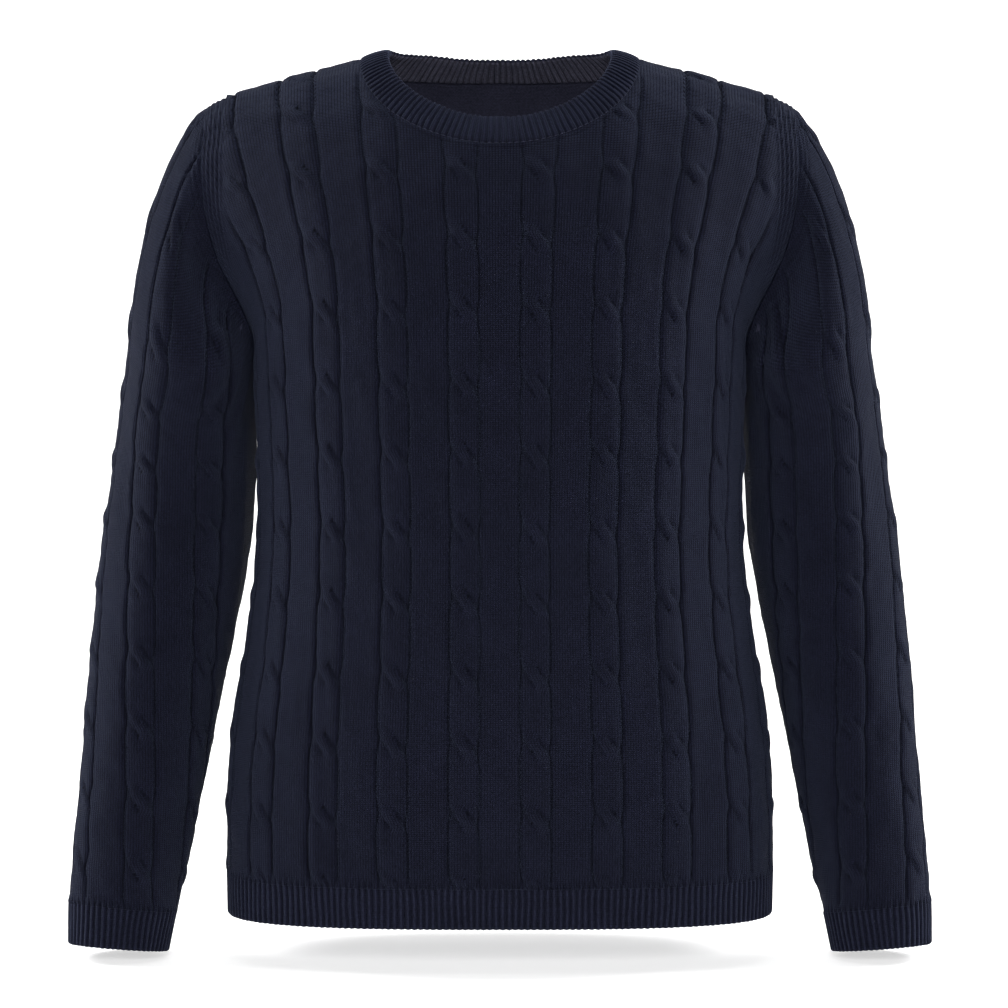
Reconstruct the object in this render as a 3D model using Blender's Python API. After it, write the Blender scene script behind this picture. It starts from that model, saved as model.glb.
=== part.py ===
"""Crew-neck cable knit sweater, filled out as if worn, with nobody inside.

Metres, +Z up, the front faces -Y. The origin is the middle of the neck, at the height where the
shoulder seams meet the neckband. Each cut piece is laid out flat as an outline, filled with the
points that its cables need, and bent over a general figure: a plain inner face, a raised outer one.
A flat point of the body is (across, height): across runs round the cloth in metres, with a cable
every CABLE_PITCH, and height runs up it. A flat point of a sleeve is (across, along), both in metres
of cloth: across runs forwards from the sleeve's top line, and along runs up from the underarm.
"""
import math

import bmesh
import bpy
import numpy as np
from mathutils.geometry import delaunay_2d_cdt

# Cloth
KNIT = 0.0028                # plain knit between the cables
RIB_KNIT = 0.0024            # a rib's wall at the bottom of its furrows
BAND_KNIT = 0.0036           # the neckband is knitted double
SEAM_GAP = 0.0003            # between two pieces that are sewn together
NAVY = (0.020, 0.023, 0.043, 1.0)

# Cables, alike on the body and the sleeves
CABLE_PITCH = 0.055          # centre to centre, across the knit
CABLE_PERIOD = 0.0545        # crossing to crossing, along the knit
PINCH = 0.0019               # how much narrower each side is at a crossing
CABLE_SIDE = [
    # from_centre, pinch, relief: each side of a cable, from the plain knit inwards
    (0.0158, 0.0, 0.0),
    (0.0122, PINCH, -0.0012),
    (0.0094, PINCH, 0.0017),
]
CROSSING = [
    # across, along, relief: the strand in front runs down to the right, with a pocket on each side
    (-0.0036, 0.0050, 0.0034),
    (0.0036, -0.0050, 0.0034),
    (-0.0044, -0.0066, 0.0001),
    (0.0044, 0.0066, 0.0001),
]
ARMHOLE_BAND = 0.016         # beside an armhole the body has no cables
ARMHOLE_FADE = 0.008         # and they rise over this distance
SEAM_FADE = 0.009            # the same at any other seam

# Heights on the body, from the origin
HEM_BOTTOM = -0.6775
HEM_SEAM = -0.6450
UNDERARM = -0.230
BODY_CROSSING = -0.590       # height of one row of crossings
SHOULDER_RUN = 0.290         # from the underarm's height over the chest to the shoulder seam
SHOULDER_SEAM = UNDERARM + SHOULDER_RUN
SHOULDER_CURVE = -0.115      # above this the cloth bends over the shoulder
HALF_PANEL = 5 * CABLE_PITCH         # from a panel's middle to its side seam
SHOULDER_STRETCH = 0.064 / CABLE_PITCH       # the shoulder line is this much wider than the cloth

# Sections of the body: rounded ovals, widest at the side seams
BODY = [
    # height, half_width, front_depth, back_depth, roundness
    (-0.6775, 0.2150, 0.0980, 0.0930, 2.9),
    (-0.6450, 0.2158, 0.1020, 0.0950, 2.8),
    (-0.5900, 0.2160, 0.1080, 0.0970, 2.6),
    (-0.5270, 0.2120, 0.1150, 0.0980, 2.4),
    (-0.4550, 0.2010, 0.1220, 0.0975, 2.3),
    (-0.3830, 0.1930, 0.1270, 0.0990, 2.3),
    (-0.3100, 0.1930, 0.1315, 0.1070, 2.35),
    (-0.2300, 0.1950, 0.1330, 0.1150, 2.45),
]
SHOULDER = [
    # from_centre, height: the shoulder line, from the neck outwards
    (0.000, 0.0130),
    (0.060, 0.0090),
    (0.112, 0.0000),
    (0.136, -0.0060),
    (0.160, -0.0118),
    (0.184, -0.0182),
    (0.208, -0.0250),
    (0.236, -0.0385),
    (0.270, -0.0610),
    (0.330, -0.1100),
]
ARMHOLE = [
    # height, across: where an armhole cuts the body, alike in front and behind
    (-0.230, 0.2750),
    (-0.222, 0.2662),
    (-0.208, 0.2574),
    (-0.188, 0.2491),
    (-0.160, 0.2387),
    (-0.128, 0.2260),
    (-0.095, 0.2145),
    (-0.060, 0.2063),
    (-0.020, 0.2018),
    (0.020, 0.2008),
    (0.060, 0.2013),
]
NECK_ACROSS = 0.0946         # where the neckline meets the shoulder seam
NECK_DROP = {-1: 0.169, 1: 0.074}    # front and back, from the shoulder seam along the cloth
NECK_POINTS = {-1: 43, 1: 29}        # along each panel's neckline

# Neckband and other ribs
BAND_GAP = 0.00045           # between the band and the panels, which it meets at a slant
BAND_CENTRE = -0.020         # the band's top edge is the neck seam drawn in towards this y
BAND_TOP = [
    # turn in degrees from the front's middle, width_left, depth_left, rise
    (0.0, 0.80, 0.860, 0.0230),
    (40.0, 0.80, 0.855, 0.0196),
    (75.0, 0.80, 0.840, 0.0078),
    (90.0, 0.80, 0.818, 0.0072),
    (100.0, 0.80, 0.800, 0.0139),
    (112.0, 0.80, 0.785, 0.0172),
    (135.0, 0.80, 0.765, 0.0153),
    (180.0, 0.80, 0.740, 0.0136),
]
RIB_RISE = 0.0013
HEM_RIB_PITCH = 0.0049
BAND_RIB_PITCH = 0.0051
CUFF_RIB_PITCH = 0.0046

# Sleeves: rounded sections square to the arm's line
SLEEVE = [
    # height, centre_x, centre_y, half_width, half_depth
    (-0.2300, 0.2456, 0.0000, 0.0501, 0.0645),
    (-0.2600, 0.2490, 0.0110, 0.0522, 0.0665),
    (-0.3000, 0.2525, 0.0200, 0.0555, 0.0660),
    (-0.3450, 0.2565, 0.0230, 0.0580, 0.0630),
    (-0.3900, 0.2618, 0.0195, 0.0590, 0.0600),
    (-0.4450, 0.2689, 0.0115, 0.0567, 0.0565),
    (-0.5100, 0.2773, 0.0010, 0.0528, 0.0525),
    (-0.5750, 0.2849, -0.0090, 0.0486, 0.0470),
    (-0.6250, 0.2919, -0.0165, 0.0456, 0.0415),
    (-0.6720, 0.2978, -0.0235, 0.0417, 0.0355),
    (-0.7040, 0.3005, -0.0280, 0.0383, 0.0320),
]
CUFF_SEAM = -0.672           # heights on the arm's line
CUFF_BOTTOM = -0.704
CAP_HEIGHT = 0.140           # the sleeve's cap above the underarm, flat
CAP_ROUND = 1.15             # over 1, the cap's curve is fuller at the top
CAP_PULL = 0.90              # how far the cap keeps its direction at each end
CAP_ENTRY = (-0.72, 0.0, 0.69)       # the sleeve's top line as it meets the shoulder
CAP_ENTRY_SIDE = (0.25, 0.0, 0.12)   # added to it halfway down the armhole
CAP_FOLD = 0.55              # from this share of the armhole down, the cap folds over its seam
CAP_FOLD_GAP = 0.8           # and its gap grows by this share
SHARED_RIM = (0.25, 0.55)    # the two cut edges share a direction up to the first, not past the second
SLEEVE_TURN = math.radians(17.0)     # the forearm turns the knit a little to the front,
SLEEVE_TURN_RUN = 0.40               # over this length
SLEEVE_CROSSING = -0.1480    # one row of crossings, along the sleeve
SLEEVE_CURVE = -0.060        # above this the cloth bends into the cap
SLEEVE_CABLES = (-3, -2, -1, 0, 1, 2)    # in cable pitches
SLEEVE_CABLE_SHIFT = 0.019       # and this far to the front of the sleeve's outer line

# Fineness
SECTION_STEPS = 64           # samples round a quarter of a section
CURVE_STEPS = 160            # samples along a seam or a column when its length is measured
OUTLINE_STEP = 0.0165
SIDE_STEP = 0.0264           # along the straight side seams and sleeve seams
OUTER_STEP = 0.0220          # spacing of the outer face's points where there are no cables,
OUTER_CLEAR = 0.0123         # which keep this far from the cables' points
BENT_BODY = 0.020            # they start this far below the underarm on the body,
BENT_SLEEVE = 0.034          # and on a sleeve lie within this distance of its seam too
BODY_INNER = 0.038           # the plain inner face: how far apart its columns are
SLEEVE_INNER = 0.021
PLAIN_ROWS = 0.070           # and its rows, where the cloth is straight and where it bends
CURVED_ROWS = 0.021
EDGE_CLEAR = 0.0052          # a cable's points keep this far from an outline,
EDGE_SHARE = 0.32            # and plain points this share of their spacing
NUDGE = 0.0004               # step for measuring how a form slopes
CAP_NUDGE = 0.0015           # the same, from the cap's edge inwards
ARM_NUDGE = 0.010            # the same, along the arm's line


# ---------------------------------------------------------------- reading tables and curves

def smooth_table(at, table, index):
    """Reads a column of a table, by its first column, with a smooth curve through its rows."""
    rows = np.array(sorted(table), float)
    x, y = rows[:, 0], rows[:, index]
    slope = np.gradient(y, x)
    at = np.clip(np.asarray(at, float), x[0], x[-1])
    i = np.clip(np.searchsorted(x, at) - 1, 0, len(x) - 2)
    span = x[i + 1] - x[i]
    u = (at - x[i]) / span
    return hermite(u, y[i], y[i + 1], slope[i] * span, slope[i + 1] * span)


def hermite(u, first, last, start, end):
    """A smooth curve from first to last that leaves along start and arrives along end."""
    rise = last - first
    return first + u * (start + u * (3 * rise - 2 * start - end + u * (start + end - 2 * rise)))


def smooth_step(u):
    """Eases from 0 to 1."""
    u = np.clip(u, 0.0, 1.0)
    return u * u * (3 - 2 * u)


def unit(vectors):
    """The same directions, one long."""
    return vectors / np.maximum(np.linalg.norm(vectors, axis=-1, keepdims=True), 1e-12)


def run_length(points):
    """Length from the first point up to each point, along the last but one axis."""
    steps = np.linalg.norm(np.diff(points, axis=-2), axis=-1)
    return np.concatenate([np.zeros(steps.shape[:-1] + (1,)), np.cumsum(steps, -1)], -1)


def row_lookup(keys, values, at):
    """For each row, reads values where that row's rising keys reach at."""
    i = np.clip((keys < at[:, None]).sum(1) - 1, 0, keys.shape[1] - 2)
    rows = np.arange(len(at))
    low, high = keys[rows, i], keys[rows, i + 1]
    u = ((at - low) / np.maximum(high - low, 1e-9))[:, None]
    return values[rows, i] * (1 - u) + values[rows, i + 1] * u


def read_curve(at, run, points):
    """Points of a curve at distances along it."""
    return np.stack([np.interp(at, run, points[:, k]) for k in range(points.shape[1])], -1)


def normals_of(form, flat, outward):
    """Unit normals of a form at flat points; outward is 1 or -1, for the side that is the outside."""
    across, along = flat[:, 0], flat[:, 1]
    over = form(across + NUDGE, along) - form(across - NUDGE, along)
    up = form(across, along + NUDGE) - form(across, along - NUDGE)
    return unit(np.cross(over, up)) * outward


# ---------------------------------------------------------------- the body's form

def oval(share, half_width, depth, power):
    """A quarter of a rounded oval, from its flat middle (share 0) to its side (share 1), by length."""
    turn = np.linspace(0, math.pi / 2, SECTION_STEPS)
    x = half_width[:, None] * np.sin(turn) ** (2 / power[:, None])
    y = depth[:, None] * np.abs(np.cos(turn)) ** (2 / power[:, None])
    y[:, -1] = 0.0
    points = np.stack([x, y], -1)
    reach = run_length(points)
    return row_lookup(reach, points, share * reach[:, -1])


def body_form(side):
    """The form of a panel's outer face. side is -1 in front and 1 behind."""
    def form(across, height):
        across, height = np.broadcast_arrays(np.asarray(across, float), np.asarray(height, float))
        level = np.minimum(height, UNDERARM)
        reach = np.abs(across)
        around = oval(np.minimum(reach / HALF_PANEL, 1.0), smooth_table(level, BODY, 1),
                      smooth_table(level, BODY, 2 if side < 0 else 3), smooth_table(level, BODY, 4))
        rise = np.clip((height - UNDERARM) / SHOULDER_RUN, 0.0, 1.05) * math.pi / 2
        up = np.sin(np.minimum(rise, math.pi / 2))
        ridge_x = SHOULDER_STRETCH * reach
        x = around[:, 0] + (ridge_x - around[:, 0]) * smooth_step(up)
        z = level + (smooth_table(ridge_x, SHOULDER, 1) - UNDERARM) * up
        return np.stack([np.sign(across) * x, side * around[:, 1] * np.cos(rise), z], -1)
    return form


def armhole_across(height):
    """Where an armhole cuts the cloth."""
    return smooth_table(height, ARMHOLE, 1)


def neckline(side, turn):
    """Flat points of a panel's neckline; turn is -90 to 90 degrees, 0 at the middle."""
    height = SHOULDER_SEAM - NECK_DROP[side] * np.sqrt(np.maximum(np.cos(turn), 0.0))
    return np.stack([NECK_ACROSS * np.sin(turn), height], -1)


# ---------------------------------------------------------------- the sleeve's form

def arm_line(height):
    """Points of the arm's line at these heights."""
    return np.stack([smooth_table(height, SLEEVE, 1), smooth_table(height, SLEEVE, 2), height], -1)


ARM_HEIGHTS = np.linspace(CUFF_BOTTOM, UNDERARM, CURVE_STEPS)
ARM_RUN = run_length(arm_line(ARM_HEIGHTS))
ARM_RUN -= ARM_RUN[-1]               # 0 at the underarm, negative below it


def along_at(height):
    """Distance along the sleeve of a height on the arm's line."""
    return float(np.interp(height, ARM_HEIGHTS, ARM_RUN))


def half_round(along):
    """Half the length round the sleeve at a distance along."""
    height = np.interp(along, ARM_RUN, ARM_HEIGHTS)
    width, depth = smooth_table(height, SLEEVE, 3), smooth_table(height, SLEEVE, 4)
    h = ((width - depth) / (width + depth)) ** 2
    return math.pi / 2 * (width + depth) * (1 + 3 * h / (10 + np.sqrt(4 - 3 * h)))


CAP_HALF = float(half_round(0.0))


def ring_point(across, along):
    """A point of the left sleeve below the underarm, and the direction up the arm there."""
    height = np.interp(along, ARM_RUN, ARM_HEIGHTS)
    width, depth = smooth_table(height, SLEEVE, 3), smooth_table(height, SLEEVE, 4)
    above = arm_line(np.minimum(height + ARM_NUDGE, UNDERARM))
    below = arm_line(np.maximum(height - ARM_NUDGE, CUFF_BOTTOM))
    up = unit(above - below)
    forward = unit(np.cross(np.array([1.0, 0.0, 0.0]), -up))
    forward *= -np.sign(forward[:, 1:2])
    outward = np.cross(up, -forward)
    outward *= np.sign(outward[:, 0:1])
    turns = np.broadcast_to(np.linspace(0, math.pi, 2 * SECTION_STEPS), (len(along), 2 * SECTION_STEPS))
    reach = run_length(np.stack([width[:, None] * np.cos(turns), depth[:, None] * np.sin(turns)], -1))
    share = np.clip(across / half_round(along), -1.0, 1.0)
    turn = np.sign(share) * row_lookup(reach, turns[..., None], np.abs(share) * reach[:, -1])[:, 0]
    turn += SLEEVE_TURN * smooth_step(-along / SLEEVE_TURN_RUN)
    place = arm_line(height) + outward * (width * np.cos(turn))[:, None]
    return place + forward * (depth * np.sin(turn))[:, None], up


def cap_edge(across):
    """Height of the sleeve's cap above the underarm, at a distance across."""
    share = np.clip(np.abs(across) / CAP_HALF, 0.0, 1.0)
    return CAP_HEIGHT * (0.5 + 0.5 * np.cos(math.pi * share ** CAP_ROUND))


def armhole_seam(side):
    """Along the left armhole from the shoulder: share of its length, the cap's points just clear of
    the body, and the body's outward normals."""
    heights = np.linspace(SHOULDER_SEAM, UNDERARM, CURVE_STEPS)
    flat = np.stack([armhole_across(heights), heights], -1)
    form = body_form(side)
    edge = form(flat[:, 0], flat[:, 1])
    normal = normals_of(form, flat, -side)
    away = unit(np.cross(np.gradient(edge, axis=0), normal))
    away *= np.sign(away[0, 0])
    share = run_length(edge)
    share /= share[-1]
    fold = smooth_step((share - CAP_FOLD) / (1 - CAP_FOLD))[:, None]
    clear = unit(away * (1 - fold) + normal * fold) * SEAM_GAP * (1 + CAP_FOLD_GAP * fold)
    return share, edge + clear, normal


CAP_ACROSS = np.linspace(0, CAP_HALF, CURVE_STEPS)
CAP_SHARE = run_length(np.stack([CAP_ACROSS, cap_edge(CAP_ACROSS)], -1))
CAP_SHARE /= CAP_SHARE[-1]
ARMHOLES = {side: armhole_seam(side) for side in (-1, 1)}


def left_sleeve(across, along):
    """A point of the left sleeve's outer face. Above the underarm the cloth bends into the armhole."""
    across, along = np.broadcast_arrays(np.asarray(across, float), np.asarray(along, float))
    low, up = ring_point(across, np.minimum(along, 0.0))
    share = np.interp(np.abs(across), CAP_ACROSS, CAP_SHARE)
    front, back = (read_curve(share, *ARMHOLES[side][:2]) for side in (-1, 1))
    high = np.where((across > 0)[:, None], front, back)
    u = np.clip(along / np.maximum(cap_edge(across), 1e-4), 0.0, 1.02)[:, None]
    pull = CAP_PULL * np.linalg.norm(high - low, axis=1)[:, None]
    entry = unit(np.array(CAP_ENTRY) + np.outer(np.sin(math.pi * share), CAP_ENTRY_SIDE))
    return np.where((along > 0)[:, None], hermite(u, low, high, up * pull, entry * pull), low)


def sleeve_form(side):
    """The form of the left sleeve (side 1) or, mirrored, of the right one (side -1)."""
    return lambda across, along: left_sleeve(across, along) * np.array([side, 1.0, 1.0])


def seam_heights():
    """Heights on the body of the outline's points along an armhole, which panels and caps share."""
    return np.linspace(UNDERARM, SHOULDER_SEAM - SEAM_GAP / 2, round(SHOULDER_RUN / OUTLINE_STEP) + 1)


def cap_at(side, height):
    """The left cap's distance across, and its share of the armhole, where it is sewn at a height."""
    heights = np.linspace(SHOULDER_SEAM, UNDERARM, CURVE_STEPS)
    share = np.interp(-height, -heights, ARMHOLES[side][0])
    return -side * np.interp(share, CAP_SHARE, CAP_ACROSS), share


def seam_normals(side, height):
    """Outward directions of the two cut edges at the left armhole: the body's and the sleeve's.

    Towards the shoulder, where the cloth bends outwards, both edges share one direction.
    """
    across, share = cap_at(side, height)
    body = read_curve(share, ARMHOLES[side][0], ARMHOLES[side][2])
    below_edge = np.stack([across, cap_edge(across) - CAP_NUDGE], -1)
    sleeve = normals_of(left_sleeve, below_edge, -1)
    together = 1 - smooth_step((share - SHARED_RIM[0]) / (SHARED_RIM[1] - SHARED_RIM[0]))[:, None]
    return unit(body + sleeve * together), unit(sleeve + body * together)


# ---------------------------------------------------------------- cables, on flat points

def cable(centre, low, high, crossing, curved_from, hand):
    """One cable's flat points, their relief, and the lines that run along it.

    Its crossings are a CABLE_PERIOD apart. Above curved_from the plain knit beside it bends too.
    hand is -1 where the outside shows the flat points turned over, and keeps all cables alike there.
    """
    first = math.floor((low - crossing) / CABLE_PERIOD)
    last = math.ceil((high - crossing) / CABLE_PERIOD)
    points, relief, lines = [], [], []
    for from_centre, pinch, rise in CABLE_SIDE:
        for way in (-1, 1):
            run = []
            for quarter in range(4 * first, 4 * last + 1):
                along = crossing + quarter * CABLE_PERIOD / 4
                wanted = quarter % 2 == 0 if pinch else quarter % (2 if along > curved_from else 4) == 1
                if low < along < high and wanted:
                    narrower = pinch if quarter % 4 == 0 else 0.0
                    run.append((centre + way * (from_centre - narrower), along))
            lines += [(len(points) + i, len(points) + i + 1) for i in range(len(run) - 1)]
            points += run
            relief += [rise] * len(run)
    for across, up, rise in CROSSING:
        for k in range(first, last + 1):
            along = crossing + k * CABLE_PERIOD + up
            if low < along < high:
                points.append((centre + hand * across, along))
                relief.append(rise)
    return points, relief, lines


def gather(cables):
    """Joins the points, reliefs and lines of several cables."""
    points, relief, lines = [], [], []
    for some, rises, joins in cables:
        lines += [(a + len(points), b + len(points)) for a, b in joins]
        points += some
        relief += rises
    return np.array(points), np.array(relief), lines


# ---------------------------------------------------------------- cloth walls

def inside(points, outline):
    """Which flat points lie inside a closed outline."""
    x, y = points[:, 0, None], points[:, 1, None]
    x1, y1 = outline[:, 0], outline[:, 1]
    x2, y2 = np.roll(x1, -1), np.roll(y1, -1)
    slope = (x2 - x1) / np.where(y2 == y1, 1e-12, y2 - y1)
    return (((y1 > y) != (y2 > y)) & (x < slope * (y - y1) + x1)).sum(1) % 2 == 1


def distance_to(points, path):
    """Distance of flat points from a path of straight stretches."""
    start, along = path[:-1], np.diff(path, axis=0)
    rel = points[:, None, :] - start[None]
    u = np.clip((rel * along).sum(-1) / np.maximum((along ** 2).sum(-1), 1e-12), 0.0, 1.0)
    return np.linalg.norm(rel - u[..., None] * along, axis=-1).min(1)


def closed(path):
    """A path with its first point again at its end."""
    return np.concatenate([path, path[:1]])


def fill(outline, points, lines):
    """Triangles that fill an outline, through the given points and along the given lines."""
    count = len(outline)
    edges = [(i, (i + 1) % count) for i in range(count)]
    edges += [(a + count, b + count) for a, b in lines]
    flat = [tuple(p) for p in outline] + [tuple(p) for p in points]
    _, _, faces, origins, _, _ = delaunay_2d_cdt(flat, edges, [], 1, 1e-7)
    return [tuple(origins[v][0] for v in face) for face in faces]


def columns_inside(outline, across, along, curved_from, curved_along):
    """Columns of flat points inside an outline, for a plain face, and the lines that run up them."""
    low, high = outline.min(0), outline.max(0)
    rows = np.concatenate([spread(low[1], curved_from, along), spread(curved_from, high[1], curved_along)])
    points, lines = [], []
    for x in np.linspace(low[0], high[0], round((high[0] - low[0]) / across) + 1):
        column = np.stack([np.full(len(rows), x), rows], -1)
        good = inside(column, outline)
        good &= distance_to(column, closed(outline)) > EDGE_SHARE * across
        start = len(points)
        points += column[good].tolist()
        lines += [(i, i + 1) for i in range(start, len(points) - 1)]
    return np.array(points), lines


def fill_gaps(outline, points, relief, needed):
    """Adds plain points to the outer face, where needed says so and no other point is near."""
    spare, _ = columns_inside(outline, OUTER_STEP, OUTER_STEP, outline[:, 1].max(), OUTER_STEP)
    spare = spare[needed(spare)]
    spare = spare[np.linalg.norm(spare[:, None] - points[None], axis=-1).min(1) > OUTER_CLEAR]
    return np.concatenate([points, spare]), np.concatenate([relief, np.zeros(len(spare))])


def keep(wanted, points, relief, lines):
    """Only the wanted points, with the lines between them."""
    place = np.cumsum(wanted) - 1
    lines = [(int(place[a]), int(place[b])) for a, b in lines if wanted[a] and wanted[b]]
    return points[wanted], relief[wanted], lines


def wall(name, form, outward, outline, rim_normals, raised, plain):
    """A cloth wall: its outer face goes through the raised points, its inner face is plain.

    raised holds flat points, their relief and their lines; plain holds flat points and lines.
    """
    points, relief, lines = raised
    inner_points, inner_lines = plain
    rim = form(outline[:, 0], outline[:, 1])
    outer = form(points[:, 0], points[:, 1]) + normals_of(form, points, outward) * relief[:, None]
    inner = form(inner_points[:, 0], inner_points[:, 1])
    inner -= normals_of(form, inner_points, outward) * KNIT
    places = np.concatenate([rim, outer, rim - rim_normals * KNIT, inner])
    count, base = len(outline), len(outline) + len(outer)
    faces = fill(outline, points, lines)
    faces += [tuple(base + v for v in reversed(face)) for face in fill(outline, inner_points, inner_lines)]
    for i in range(count):
        j = (i + 1) % count
        faces.append((j, i, base + i, base + j))
    return solid(name, places, faces)


def solid(name, places, faces):
    """One named object from points and faces, with its faces turned outwards."""
    mesh = bpy.data.meshes.new(name)
    mesh.from_pydata([tuple(p) for p in places], [], faces)
    work = bmesh.new()
    work.from_mesh(mesh)
    bmesh.ops.triangulate(work, faces=work.faces[:])
    bmesh.ops.recalc_face_normals(work, faces=work.faces[:])
    work.to_mesh(mesh)
    work.free()
    mesh.materials.append(knit_material())
    piece = bpy.data.objects.new(name, mesh)
    bpy.context.scene.collection.objects.link(piece)
    return piece


def knit_material():
    """The navy yarn, alike on every piece."""
    material = bpy.data.materials.get("navy_knit")
    if material is None:
        material = bpy.data.materials.new("navy_knit")
        material.use_nodes = True
        shader = material.node_tree.nodes["Principled BSDF"]
        shader.inputs["Base Color"].default_value = NAVY
        shader.inputs["Roughness"].default_value = 0.9
        shader.inputs["Metallic"].default_value = 0.0
    return material


def spread(start, end, step):
    """Evenly spaced numbers from start up to, but without, end."""
    return np.linspace(start, end, max(2, round(abs(end - start) / step) + 1))[:-1]


# ---------------------------------------------------------------- the pieces

def body_panel(name, side):
    """Front or back panel, from the hem's seam to the shoulder seams, the neckline and the armholes."""
    form = body_form(side)
    half_gap = SEAM_GAP / 2
    low, top, edge = HEM_SEAM + half_gap, SHOULDER_SEAM - half_gap, HALF_PANEL - half_gap
    bottom = [(x, low) for x in spread(-edge, edge, OUTLINE_STEP)[1:]]
    seam = [(edge, height) for height in spread(low, UNDERARM, SIDE_STEP)]
    armhole = [(min(float(armhole_across(h)), edge), h) for h in seam_heights()]
    shoulder = [(x, top) for x in spread(armhole[-1][0], NECK_ACROSS, OUTLINE_STEP)[1:]]
    turns = np.linspace(math.pi / 2, -math.pi / 2, NECK_POINTS[side])
    neck = neckline(side, turns) - np.array([0.0, half_gap])
    right = seam + armhole + shoulder
    left = [(-x, height) for x, height in reversed(right)]
    outline = np.array(bottom + right + neck.tolist() + left)

    rim_normals = normals_of(form, outline, -side)
    first = len(bottom) + len(seam)
    heights = seam_heights()[1:]
    body_normals = seam_normals(side, heights)[0]
    right_rows = first + 1 + np.arange(len(heights))
    left_rows = len(outline) - 1 - len(seam) - 1 - np.arange(len(heights))
    rim_normals[right_rows] = body_normals
    rim_normals[left_rows] = body_normals * np.array([-1.0, 1.0, 1.0])

    levels = np.linspace(low, SHOULDER_SEAM, CURVE_STEPS)
    cables = []
    for centre in CABLE_PITCH * np.arange(-4.5, 5.0):
        run = low + run_length(form(np.full(CURVE_STEPS, centre), levels))
        curved_from = float(np.interp(SHOULDER_CURVE, levels, run))
        points, relief, lines = cable(centre, low, float(run[-1]), BODY_CROSSING, curved_from, -side)
        points = [(x, float(np.interp(along, run, levels))) for x, along in points]
        cables.append((points, relief, lines))
    points, relief, lines = gather(cables)
    cut = np.array([(armhole_across(h), h) for h in seam_heights()])
    from_armhole = distance_to(np.abs(points) * (1, 0) + points * (0, 1), cut)
    from_seam = distance_to(points, closed(outline))
    relief = relief * smooth_step((from_armhole - ARMHOLE_BAND) / ARMHOLE_FADE)
    relief = relief * smooth_step(from_seam / SEAM_FADE)
    wanted = inside(points, outline) & (from_seam > EDGE_CLEAR) & (from_armhole > ARMHOLE_BAND)
    points, relief, lines = keep(wanted, points, relief, lines)
    points, relief = fill_gaps(outline, points, relief, lambda flat: flat[:, 1] > UNDERARM - BENT_BODY)
    plain = columns_inside(outline, BODY_INNER, PLAIN_ROWS, UNDERARM, CURVED_ROWS)
    return wall(name, form, -side, outline, rim_normals, (points, relief, lines), plain)


def sleeve(name, side):
    """One sleeve with its cap, open along the underarm seam, from the cuff's seam to the armhole."""
    form = sleeve_form(side)
    half_gap = SEAM_GAP / 2
    low = along_at(CUFF_SEAM) + half_gap
    alongs = spread(low, 0.0, SIDE_STEP)
    edge = half_round(alongs) - half_gap
    bottom = [(x, low) for x in spread(-edge[0], edge[0], OUTLINE_STEP)[1:]]
    right = list(zip(edge, alongs)) + [(CAP_HALF - half_gap, 0.0)]
    left = [(-across, along) for across, along in reversed(right)]
    heights = seam_heights()[1:]
    front, back = cap_at(-1, heights)[0], cap_at(1, heights)[0]
    cap = np.concatenate([front, back[::-1]])
    outline = np.array(bottom + right + list(zip(cap, cap_edge(cap))) + left)

    rim_normals = normals_of(form, outline, -side)
    normals = np.concatenate([seam_normals(-1, heights)[1], seam_normals(1, heights)[1][::-1]])
    first = len(bottom) + len(right)
    rim_normals[first:first + len(cap)] = normals * np.array([side, 1.0, 1.0])
    corners = [first - 1, first + len(cap)]
    rim_normals[corners] = normals_of(form, outline[corners] - np.array([0.0, CAP_NUDGE]), -side)

    points, relief, lines = gather([
        cable(k * CABLE_PITCH + SLEEVE_CABLE_SHIFT, low, CAP_HEIGHT, SLEEVE_CROSSING, low, -side)
        for k in SLEEVE_CABLES])
    from_seam = distance_to(points, closed(outline))
    relief = relief * smooth_step(from_seam / SEAM_FADE)
    points, relief, lines = keep(inside(points, outline) & (from_seam > EDGE_CLEAR), points, relief, lines)

    def needed(flat):
        return (flat[:, 1] > SLEEVE_CURVE) | (np.abs(flat[:, 0]) > half_round(flat[:, 1]) - BENT_SLEEVE)

    points, relief = fill_gaps(outline, points, relief, needed)
    plain = columns_inside(outline, SLEEVE_INNER, PLAIN_ROWS, SLEEVE_CURVE, CURVED_ROWS)
    return wall(name, form, -side, outline, rim_normals, (points, relief, lines), plain)


def ribbed(name, place, ribs, thickness, ring=False):
    """A ribbed band, ribs even in number. place(share, upper) gives points and outward normals along
    its lower or upper edge; share runs 0 to 1 along the band. The inside is plain."""
    ends = 0 if ring else 1
    outer_share = np.arange(2 * ribs + ends) / (2 * ribs)
    inner_share = np.arange(ribs // 2 + ends) / (ribs // 2)
    lift = RIB_RISE * (np.arange(len(outer_share)) % 2)
    places, rows = [], []
    for share, rise in ((outer_share, lift), (inner_share, np.full(len(inner_share), -thickness))):
        for upper in (False, True):
            points, normals, rim = place(share, upper)
            rows.append(np.arange(len(share)) + sum(len(p) for p in places))
            places.append(points + (normals if share is outer_share else rim) * rise[:, None])
    outer_low, outer_high, inner_low, inner_high = rows
    faces = zipped(outer_low, outer_high, outer_share, outer_share, ring)
    faces += zipped(inner_high, inner_low, inner_share, inner_share, ring)
    faces += zipped(inner_low, outer_low, inner_share, outer_share, ring)
    faces += zipped(outer_high, inner_high, outer_share, inner_share, ring)
    if not ring:
        for i in (0, -1):
            faces.append((outer_low[i], outer_high[i], inner_high[i], inner_low[i]))
    return solid(name, np.concatenate(places), [tuple(int(v) for v in face) for face in faces])


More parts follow.
